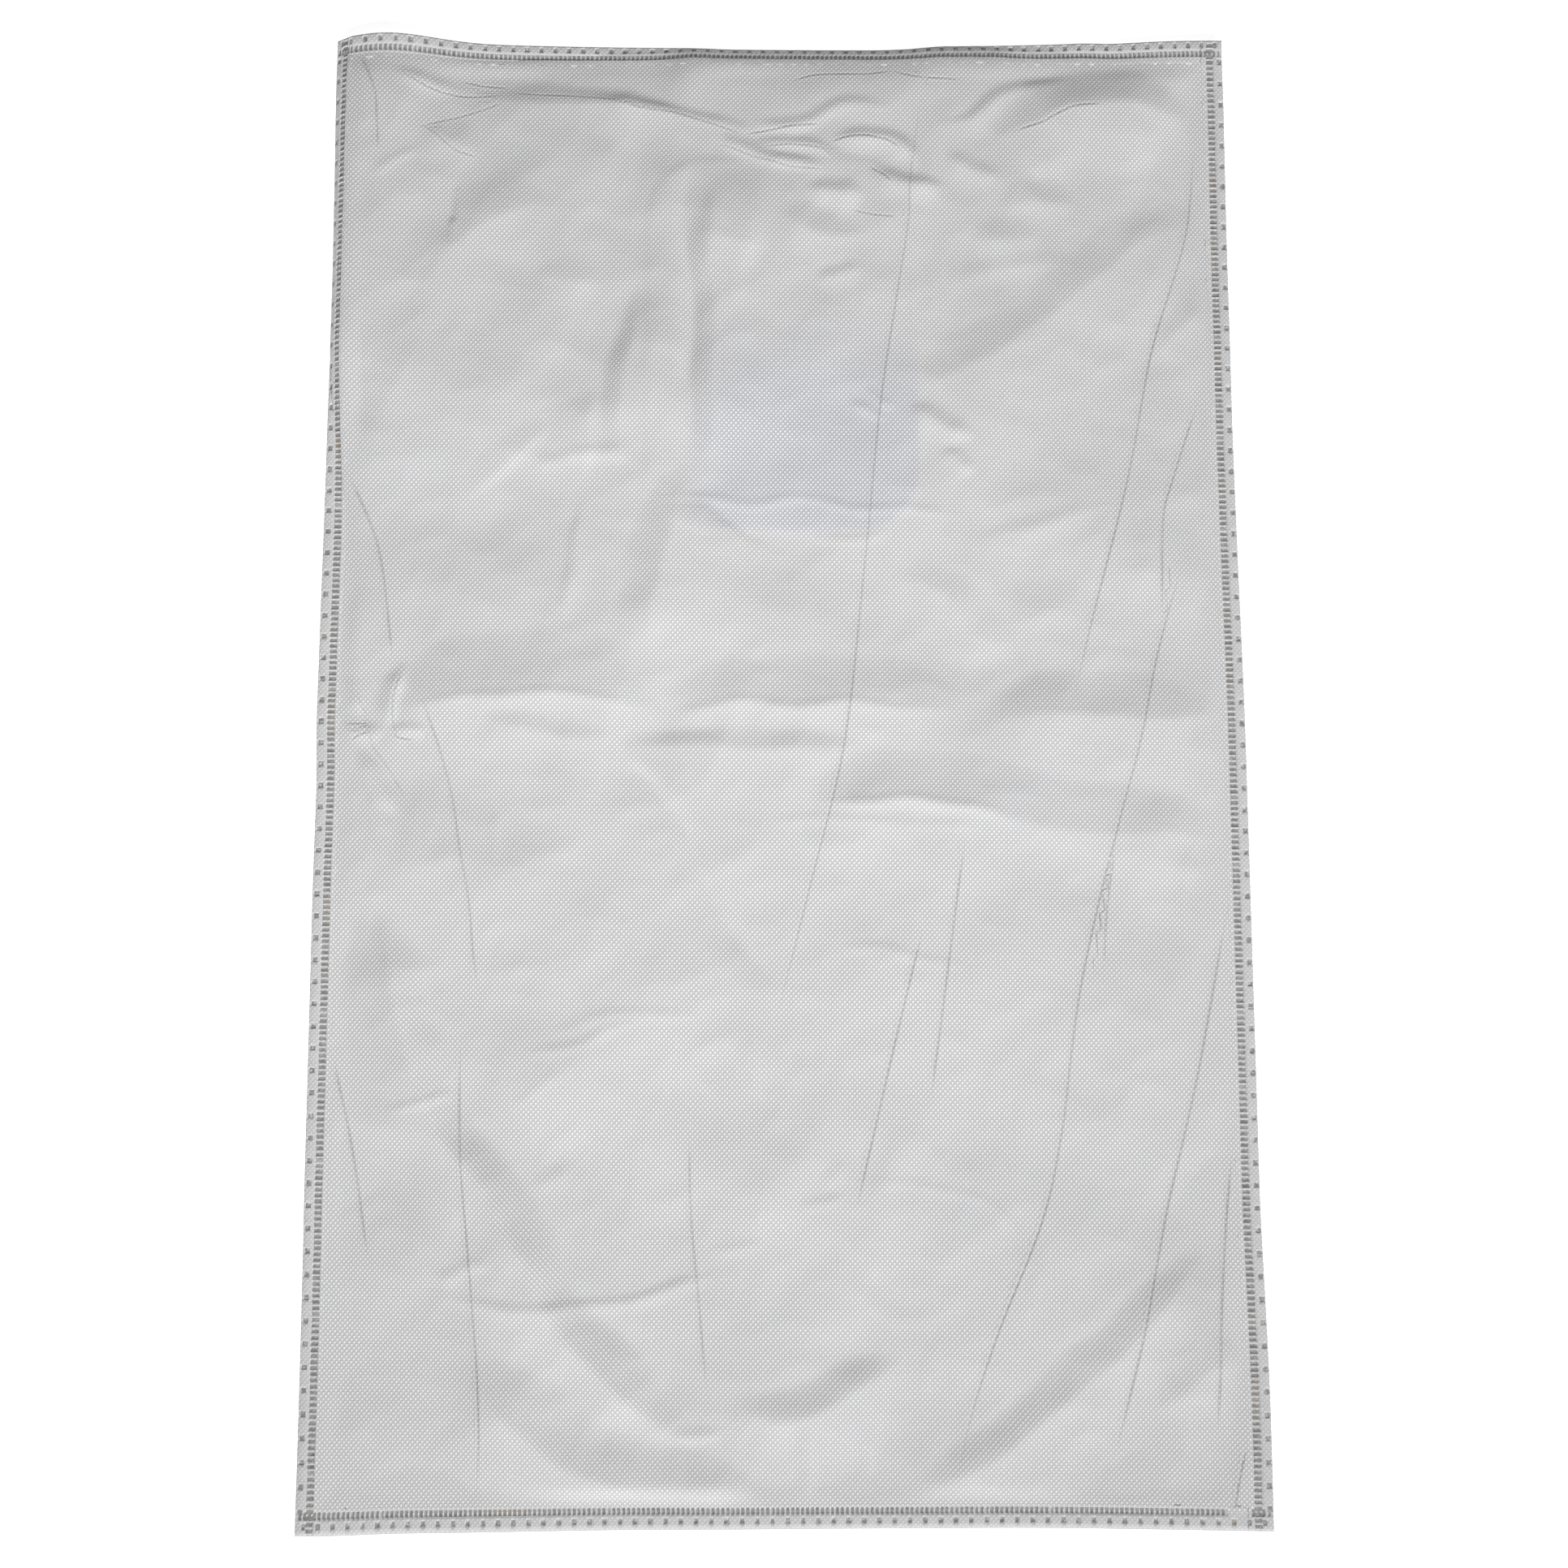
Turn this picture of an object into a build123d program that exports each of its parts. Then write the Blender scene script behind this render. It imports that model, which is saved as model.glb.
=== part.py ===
"""Flat welded bulk dust bag of multi-ply nonwoven fleece, with a plastic inlet collar and a closing slide.

Millimetres. The bag lies on its collar side, as it does when it is laid out blank face up.
X runs across the bag, +Y towards the collar end, +Z up; z = 0 is the surface that it lies on.
"""

import os

from build123d import *

os.makedirs("parts", exist_ok=True)

# --- The bag ---------------------------------------------------------------------------------
BAG_WIDTH = 500.0
BAG_LENGTH = 800.0
SEAM_WIDTH = 13.0
OUTER_PLY = 0.4  # embossed spunbond
FILTER_PLY = 0.3  # melt-blown filter web
INNER_PLY = 0.2  # plain spunbond scrim
PLY_THICKNESSES = {"outer": OUTER_PLY, "filter": FILTER_PLY, "inner": INNER_PLY}
WALL = OUTER_PLY + FILTER_PLY + INNER_PLY
SEAM_THICKNESS = 2 * WALL
INSIDE_WIDTH = BAG_WIDTH - 2 * SEAM_WIDTH
INSIDE_LENGTH = BAG_LENGTH - 2 * SEAM_WIDTH

BACK_RISE = 10.5  # how far the back wall stands above the front wall
BACK_SLOPE_RUN = 36.0  # how far in from the seam it reaches that height

# --- The collar, from the floor up -----------------------------------------------------------
COLLAR_Y = 225.0
COLLAR_WIDTH = 150.0
COLLAR_LENGTH = 210.0
COLLAR_CORNER = 34.0
COVER_THICKNESS = 1.6
EDGE_CHAMFER = 0.4
GUIDE_THICKNESS = 1.8
BASE_THICKNESS = 2.0
GLUE_THICKNESS = 0.2
GUIDE_Z = COVER_THICKNESS
BASE_Z = GUIDE_Z + GUIDE_THICKNESS
GLUE_Z = BASE_Z + BASE_THICKNESS
COLLAR_HEIGHT = GLUE_Z + GLUE_THICKNESS
FRONT_PLATEAU_MARGIN = 0.8  # the front wall stays flat this far past the collar's edge
FRONT_SLOPE_RUN = 16.0
BACK_COLLAR_RISE = 13.0
BACK_COLLAR_RUN = 30.0

# --- Inlet port and seal ---------------------------------------------------------------------
PORT_Y = COLLAR_Y - 42.0
PORT_RADIUS = 35.0
SEAL_BORE_RADIUS = 29.0
SEAL_RADIUS = 42.0
SEAL_THICKNESS = 1.0
SEAL_LIP_WIDTH = 3.0
SEAL_LIP_GROOVE = 0.35
FLEECE_HOLE_RADIUS = 37.0

# --- Closing slide ---------------------------------------------------------------------------
SLIDE_WIDTH = 88.0
SLIDE_LENGTH = 98.0
SLIDE_THICKNESS = 1.4
SLIDE_TRAVEL = 81.0
SLIDE_SIDE_CLEARANCE = 0.3
SLIDE_END_CLEARANCE = 0.5
SLIDE_Z = GUIDE_Z + (GUIDE_THICKNESS - SLIDE_THICKNESS) / 2
SLIDE_OPEN_GAP = 2.4  # from the port's edge to the slide when it is open
SLIDE_LOW_Y = PORT_Y + PORT_RADIUS + SLIDE_OPEN_GAP
SLIDE_HIGH_Y = SLIDE_LOW_Y + SLIDE_LENGTH
PAD_WIDTH = 12.0
PAD_LENGTH = 8.0
PAD_INSET = 6.4  # from the slide's outer end to the thumb pad's middle
PAD_LOW_Z = 0.3
PAD_CLEARANCE = 0.8
PAD_Y = SLIDE_HIGH_Y - PAD_INSET
RIB_COUNT = 3
RIB_PITCH = 2.4
RIB_CUT_WIDTH = 1.0
RIB_CUT_DEPTH = 0.5
POCKET_LOW_Y = SLIDE_LOW_Y - SLIDE_TRAVEL - SLIDE_END_CLEARANCE
POCKET_HIGH_Y = SLIDE_HIGH_Y + SLIDE_END_CLEARANCE

# --- Inner ring and fastenings ---------------------------------------------------------------
RING_INNER_RADIUS = 38.0
RING_OUTER_RADIUS = 56.0
RING_THICKNESS = 1.2
STUD_COUNT = 8
STUD_CIRCLE_RADIUS = 47.0
STUD_RADIUS = 2.0
STUD_HEAD_RADIUS = 3.6
STUD_HEAD_HEIGHT = 0.6
RIVET_RADIUS = 1.8
RIVET_HEAD_RADIUS = 3.4
RIVET_HEAD_HEIGHT = 0.7
RIVET_X = 59.0
RIVET_YS = [-66.0, -22.0, 22.0, 66.0]  # along the collar, from its middle
GLUE_INNER_RADIUS = 39.0
GLUE_OUTER_RADIUS = 43.5
GLUE_EDGE_INSET = 6.0
GLUE_BEAD_WIDTH = 7.0


def save(piece, name):
    """Labels a finished sub-part and writes its STEP file."""
    piece.part.label = name
    export_step(piece.part, f"parts/{name}.step")


def collar_outline(grow=0.0):
    """The collar's rounded outline in the active sketch, grown on every side."""
    with Locations((0, COLLAR_Y)):
        RectangleRounded(
            COLLAR_WIDTH + 2 * grow, COLLAR_LENGTH + 2 * grow, COLLAR_CORNER + grow
        )


def rivet_places():
    """Rivet centres, down both long sides of the collar."""
    return [(side * RIVET_X, COLLAR_Y + y) for side in (-1, 1) for y in RIVET_YS]


def stud_locations():
    """The ring of weld studs around the port."""
    return PolarLocations(STUD_CIRCLE_RADIUS, STUD_COUNT, start_angle=22.5)


def inside_slab(level, mode):
    """A slab from the floor to a level, over the area inside the seams."""
    with BuildSketch(Plane.XY) as inside:
        Rectangle(INSIDE_WIDTH, INSIDE_LENGTH)
    extrude(inside.sketch, amount=level, mode=mode)


def collar_hump(level, top_grow, run, rise, mode):
    """The ground that a wall rises over where the collar lies under it."""
    with BuildSketch(Plane.XY.offset(level)) as foot:
        collar_outline(top_grow + run)
    with BuildSketch(Plane.XY.offset(level + rise)) as crown:
        collar_outline(top_grow)
    loft([foot.sketch.face(), crown.sketch.face()], ruled=True, mode=mode)


def front_ground(level, mode):
    """Everything under one face of the front wall, which lies on the floor and over the collar."""
    inside_slab(level, mode)
    collar_hump(level, FRONT_PLATEAU_MARGIN, FRONT_SLOPE_RUN, COLLAR_HEIGHT, mode)


def back_ground(level, mode):
    """Everything under one face of the back wall, which stands above the front wall."""
    inside_slab(level, mode)
    with BuildSketch(Plane.XY.offset(level)) as foot:
        Rectangle(INSIDE_WIDTH, INSIDE_LENGTH)
    with BuildSketch(Plane.XY.offset(level + BACK_RISE)) as crown:
        Rectangle(INSIDE_WIDTH - 2 * BACK_SLOPE_RUN, INSIDE_LENGTH - 2 * BACK_SLOPE_RUN)
    loft([foot.sketch.face(), crown.sketch.face()], ruled=True, mode=mode)
    collar_hump(level, 0.0, BACK_COLLAR_RUN, BACK_COLLAR_RISE, mode)


# --- Front wall: three plies, with the port's hole and the stud holes ------------------------
ply_bottom = 0.0
for ply_name, ply_thickness in PLY_THICKNESSES.items():
    with BuildPart() as front_ply:
        front_ground(ply_bottom + ply_thickness, Mode.ADD)
        if ply_bottom > 0:
            front_ground(ply_bottom, Mode.SUBTRACT)
        else:
            with BuildSketch(Plane.XY):
                collar_outline(FRONT_PLATEAU_MARGIN + FRONT_SLOPE_RUN)
            with BuildSketch(Plane.XY.offset(COLLAR_HEIGHT)):
                collar_outline(FRONT_PLATEAU_MARGIN)
            loft(ruled=True, mode=Mode.SUBTRACT)
        with BuildSketch(Plane.XY):
            with Locations((0, PORT_Y)):
                Circle(FLEECE_HOLE_RADIUS)
                with stud_locations():
                    Circle(STUD_RADIUS)
        extrude(amount=COLLAR_HEIGHT + SEAM_THICKNESS, mode=Mode.SUBTRACT)
    save(front_ply, f"front_{ply_name}_ply")
    ply_bottom += ply_thickness

# --- Back wall: the same three plies in reverse, with no hole --------------------------------
for ply_name in reversed(PLY_THICKNESSES):
    ply_thickness = PLY_THICKNESSES[ply_name]
    with BuildPart() as back_ply:
        back_ground(ply_bottom + ply_thickness, Mode.ADD)
        back_ground(ply_bottom, Mode.SUBTRACT)
    save(back_ply, f"back_{ply_name}_ply")
    ply_bottom += ply_thickness

# --- Welded seams: the side seams run through to the cut ends --------------------------------
for seam_name, side in (("left_seam", -1), ("right_seam", 1)):
    with BuildPart() as side_seam:
        with BuildSketch(Plane.XY):
            with Locations((side * (BAG_WIDTH - SEAM_WIDTH) / 2, 0)):
                Rectangle(SEAM_WIDTH, BAG_LENGTH)
        extrude(amount=SEAM_THICKNESS)
    save(side_seam, seam_name)

for seam_name, side in (("bottom_seam", -1), ("top_seam", 1)):
    with BuildPart() as end_seam:
        with BuildSketch(Plane.XY):
            with Locations((0, side * (BAG_LENGTH - SEAM_WIDTH) / 2)):
                Rectangle(INSIDE_WIDTH, SEAM_WIDTH)
        extrude(amount=SEAM_THICKNESS)
    save(end_seam, seam_name)

# --- Collar cover: the plate that faces out, with the port and the thumb slot ----------------
SLOT_LOW_Y = PAD_Y - SLIDE_TRAVEL - PAD_LENGTH / 2 - PAD_CLEARANCE
SLOT_HIGH_Y = PAD_Y + PAD_LENGTH / 2 + PAD_CLEARANCE
SLOT_WIDTH = PAD_WIDTH + 2 * PAD_CLEARANCE
with BuildPart() as collar_cover:
    with BuildSketch(Plane.XY):
        collar_outline()
        with Locations((0, PORT_Y)):
            Circle(PORT_RADIUS, mode=Mode.SUBTRACT)
        with Locations((0, (SLOT_LOW_Y + SLOT_HIGH_Y) / 2)):
            RectangleRounded(SLOT_WIDTH, SLOT_HIGH_Y - SLOT_LOW_Y, 3.0, mode=Mode.SUBTRACT)
    extrude(amount=COVER_THICKNESS)
    chamfer(collar_cover.faces().sort_by(Axis.Z)[0].edges(), EDGE_CHAMFER)
    with BuildSketch(Plane.XY):
        with Locations(*rivet_places()):
            Circle(RIVET_HEAD_RADIUS)
    extrude(amount=RIVET_HEAD_HEIGHT, mode=Mode.SUBTRACT)
    with BuildSketch(Plane.XY):
        with Locations(*rivet_places()):
            Circle(RIVET_RADIUS)
    extrude(amount=COVER_THICKNESS, mode=Mode.SUBTRACT)
save(collar_cover, "collar_cover")

# --- Slide guide: the spacer plate whose pocket the slide runs in ----------------------------
with BuildPart() as slide_guide:
    with BuildSketch(Plane.XY.offset(GUIDE_Z)):
        collar_outline()
        with Locations((0, (POCKET_LOW_Y + POCKET_HIGH_Y) / 2)):
            RectangleRounded(
                SLIDE_WIDTH + 2 * SLIDE_SIDE_CLEARANCE,
                POCKET_HIGH_Y - POCKET_LOW_Y,
                2.0,
                mode=Mode.SUBTRACT,
            )
        with Locations(*rivet_places()):
            Circle(RIVET_RADIUS, mode=Mode.SUBTRACT)
    extrude(amount=GUIDE_THICKNESS)
save(slide_guide, "slide_guide")

# --- Collar base: the plate that is glued to the fleece, with the seal's recess --------------
with BuildPart() as collar_base:
    with BuildSketch(Plane.XY.offset(BASE_Z)):
        collar_outline()
        with Locations((0, PORT_Y)):
            Circle(PORT_RADIUS, mode=Mode.SUBTRACT)
        with Locations(*rivet_places()):
            Circle(RIVET_RADIUS, mode=Mode.SUBTRACT)
    extrude(amount=BASE_THICKNESS)
    with BuildSketch(Plane.XY.offset(BASE_Z)):
        with Locations((0, PORT_Y)):
            Circle(SEAL_RADIUS)
    extrude(amount=SEAL_THICKNESS, mode=Mode.SUBTRACT)
    with BuildSketch(Plane.XY.offset(GLUE_Z - RIVET_HEAD_HEIGHT)):
        with Locations(*rivet_places()):
            Circle(RIVET_HEAD_RADIUS)
    extrude(amount=RIVET_HEAD_HEIGHT, mode=Mode.SUBTRACT)
save(collar_base, "collar_base")

# --- Inlet seal: a flat rubber ring with a flexible lip --------------------------------------
with BuildPart() as inlet_seal:
    with BuildSketch(Plane.XY.offset(BASE_Z)):
        with Locations((0, PORT_Y)):
            Circle(SEAL_RADIUS)
            Circle(SEAL_BORE_RADIUS, mode=Mode.SUBTRACT)
    extrude(amount=SEAL_THICKNESS)
    with BuildSketch(Plane.XY.offset(BASE_Z)):
        with Locations((0, PORT_Y)):
            Circle(SEAL_BORE_RADIUS + SEAL_LIP_WIDTH + 1.0)
            Circle(SEAL_BORE_RADIUS + SEAL_LIP_WIDTH, mode=Mode.SUBTRACT)
    extrude(amount=SEAL_LIP_GROOVE, mode=Mode.SUBTRACT)
save(inlet_seal, "inlet_seal")

# --- Closing slide, parked open, with its ribbed thumb pad -----------------------------------
with BuildPart() as closing_slide:
    with BuildSketch(Plane.XY.offset(SLIDE_Z)):
        with Locations((0, (SLIDE_LOW_Y + SLIDE_HIGH_Y) / 2)):
            RectangleRounded(SLIDE_WIDTH, SLIDE_LENGTH, 2.0)
    extrude(amount=SLIDE_THICKNESS)
    with BuildSketch(Plane.XY.offset(PAD_LOW_Z)):
        with Locations((0, PAD_Y)):
            RectangleRounded(PAD_WIDTH, PAD_LENGTH, 1.5)
    extrude(amount=SLIDE_Z - PAD_LOW_Z)
    with BuildSketch(Plane.XY.offset(PAD_LOW_Z)):
        with Locations((0, PAD_Y)):
            with GridLocations(0, RIB_PITCH, 1, RIB_COUNT):
                Rectangle(PAD_WIDTH, RIB_CUT_WIDTH)
    extrude(amount=RIB_CUT_DEPTH, mode=Mode.SUBTRACT)
save(closing_slide, "closing_slide")

# --- Glue bead between the collar base and the outer ply -------------------------------------
with BuildPart() as collar_glue:
    with BuildSketch(Plane.XY.offset(GLUE_Z)):
        collar_outline(-GLUE_EDGE_INSET)
        collar_bead_inside = GLUE_EDGE_INSET + GLUE_BEAD_WIDTH
        with Locations((0, COLLAR_Y)):
            RectangleRounded(
                COLLAR_WIDTH - 2 * collar_bead_inside,
                COLLAR_LENGTH - 2 * collar_bead_inside,
                COLLAR_CORNER - collar_bead_inside,
                mode=Mode.SUBTRACT,
            )
        with Locations((0, PORT_Y)):
            Circle(GLUE_OUTER_RADIUS)
            Circle(GLUE_INNER_RADIUS, mode=Mode.SUBTRACT)
    extrude(amount=GLUE_THICKNESS)
save(collar_glue, "collar_glue")

# --- Inner ring: clamps the plies to the collar from inside the bag --------------------------
RING_Z = COLLAR_HEIGHT + WALL
with BuildPart() as inner_ring:
    with BuildSketch(Plane.XY.offset(RING_Z)):
        with Locations((0, PORT_Y)):
            Circle(RING_OUTER_RADIUS)
            Circle(RING_INNER_RADIUS, mode=Mode.SUBTRACT)
            with stud_locations():
                Circle(STUD_RADIUS, mode=Mode.SUBTRACT)
    extrude(amount=RING_THICKNESS)
save(inner_ring, "inner_ring")

# --- Weld studs: through the plies and the ring, headed over inside the bag ------------------
with BuildPart() as ring_studs:
    with BuildSketch(Plane.XY.offset(GLUE_Z)):
        with Locations((0, PORT_Y)):
            with stud_locations():
                Circle(STUD_RADIUS)
    extrude(amount=RING_Z + RING_THICKNESS - GLUE_Z)
    with BuildSketch(Plane.XY.offset(RING_Z + RING_THICKNESS)):
        with Locations((0, PORT_Y)):
            with stud_locations():
                Circle(STUD_HEAD_RADIUS)
    extrude(amount=STUD_HEAD_HEIGHT)
save(ring_studs, "ring_studs")

# --- Collar rivets: through cover, guide and base, with both heads sunk ----------------------
with BuildPart() as collar_rivets:
    with BuildSketch(Plane.XY.offset(RIVET_HEAD_HEIGHT)):
        with Locations(*rivet_places()):
            Circle(RIVET_RADIUS)
    extrude(amount=GLUE_Z - 2 * RIVET_HEAD_HEIGHT)
    for head_z in (0.0, GLUE_Z - RIVET_HEAD_HEIGHT):
        with BuildSketch(Plane.XY.offset(head_z)):
            with Locations(*rivet_places()):
                Circle(RIVET_HEAD_RADIUS)
        extrude(amount=RIVET_HEAD_HEIGHT)
save(collar_rivets, "collar_rivets")
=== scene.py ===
"""A large flat dust bag of embossed nonwoven fleece, lying blank face up over its inlet collar.

The cloth is worked out in millimetres, in the bag's own flat coordinates u (across) and v (along), and is
written to meshes in metres. The collar's hard pieces are the frame's own solids with better finishes.
"""

import math

import bpy
import numpy as np
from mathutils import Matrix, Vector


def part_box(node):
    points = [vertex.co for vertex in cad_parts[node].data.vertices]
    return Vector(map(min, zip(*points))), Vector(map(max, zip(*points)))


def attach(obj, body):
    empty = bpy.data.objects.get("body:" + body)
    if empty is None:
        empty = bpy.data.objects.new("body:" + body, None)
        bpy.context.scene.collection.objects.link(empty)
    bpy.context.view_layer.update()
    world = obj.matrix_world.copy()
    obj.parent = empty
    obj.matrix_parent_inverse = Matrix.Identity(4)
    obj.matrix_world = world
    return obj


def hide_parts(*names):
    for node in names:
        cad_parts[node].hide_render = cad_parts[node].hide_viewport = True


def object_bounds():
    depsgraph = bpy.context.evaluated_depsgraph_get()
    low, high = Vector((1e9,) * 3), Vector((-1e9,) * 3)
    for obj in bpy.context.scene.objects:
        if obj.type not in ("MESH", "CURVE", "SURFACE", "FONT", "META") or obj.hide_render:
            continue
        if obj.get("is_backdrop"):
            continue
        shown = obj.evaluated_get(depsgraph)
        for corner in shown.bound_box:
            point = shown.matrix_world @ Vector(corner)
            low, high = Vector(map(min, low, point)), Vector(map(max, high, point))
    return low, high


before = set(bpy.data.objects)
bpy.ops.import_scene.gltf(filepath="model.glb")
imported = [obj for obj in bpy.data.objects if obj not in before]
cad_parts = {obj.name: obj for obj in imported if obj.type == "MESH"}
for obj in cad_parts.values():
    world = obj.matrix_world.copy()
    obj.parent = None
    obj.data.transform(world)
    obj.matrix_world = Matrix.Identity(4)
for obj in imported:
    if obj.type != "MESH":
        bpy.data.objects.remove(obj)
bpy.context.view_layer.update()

MM = 0.001


# --- Driving sizes, from the frame ---

def box_mm(node):
    """A frame node's lowest and highest corners, in millimetres."""
    low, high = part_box(node)
    return np.array(low) / MM, np.array(high) / MM


left_low, left_high = box_mm("left_seam")
base_low, base_high = box_mm("collar_base")
seal_low, seal_high = box_mm("inlet_seal")

HALF_WIDTH = -left_low[0]
HALF_LENGTH = left_high[1]
SEAM_WIDTH = left_high[0] - left_low[0]
WALL = left_high[2] / 2  # three plies
OUTER_PLY = 0.4  # how thick the outer ply is
INNER_PLY = 0.2  # and the inner one
PLY_SLACK = 0.3  # how far the inner plies hang off the ply outside them
LAP = 0.8  # how far each ply runs on over the welded margin
FLOOR_GAP = 0.05  # the least room between the cloth and the floor
SEEN_SPACING = 2.0  # between the mesh points of the ply that faces up
SPACING = 3.4  # between those of the other plies

COLLAR_X = (base_low[0] + base_high[0]) / 2
COLLAR_Y = (base_low[1] + base_high[1]) / 2
COLLAR_HALF_WIDTH = (base_high[0] - base_low[0]) / 2
COLLAR_HALF_LENGTH = (base_high[1] - base_low[1]) / 2
COLLAR_CORNER = 34.0  # the radius of its rounded corners
COLLAR_TOP = base_high[2] + 0.2  # how high the front wall lies on it
PORT_Y = (seal_low[1] + seal_high[1]) / 2
FLEECE_HOLE = 37.0  # the radius of the front plies' hole

# --- How the back wall lies ---

STAND = 10.0  # the back wall's usual height above the floor
EDGE_RUN = 85.0  # how far in from a seam the wall rises
BOTTOM_RUN = 130.0  # the same at the closed end
TOP_RUN = 55.0  # the same at the sides of the collar end
STEEP_RUN = 13.0  # the same at the middle of the collar end, where the wall drops steeply
ROLL_RUN = 8.5  # the same at the rolled edge, upper left
ROLL_TUCK = 4.6  # how far the rolled edge draws the cloth in

CRISPNESS = 0.72  # how much of a fold is a creased ridge, and not a round one
FOLD_DEPTH = 0.84  # all the folds together, deeper or shallower
FOLD_FADE = 42.0  # how far from its ends a fold dies away
COLLAR_HUMP = 1.7  # how far the collar pushes the wall up
COLLAR_RIM = 0.35  # the small step over its rim

# Height, wavelength and seed of the cloth's loose waves, and of its crumples.
SLACK_WAVES = [(0.8, 150, 21), (0.24, 62, 22), (0.04, 26, 23)]
CRUMPLES = [(0.34, 95, 24), (0.16, 44, 25), (0.05, 20, 26)]

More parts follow.
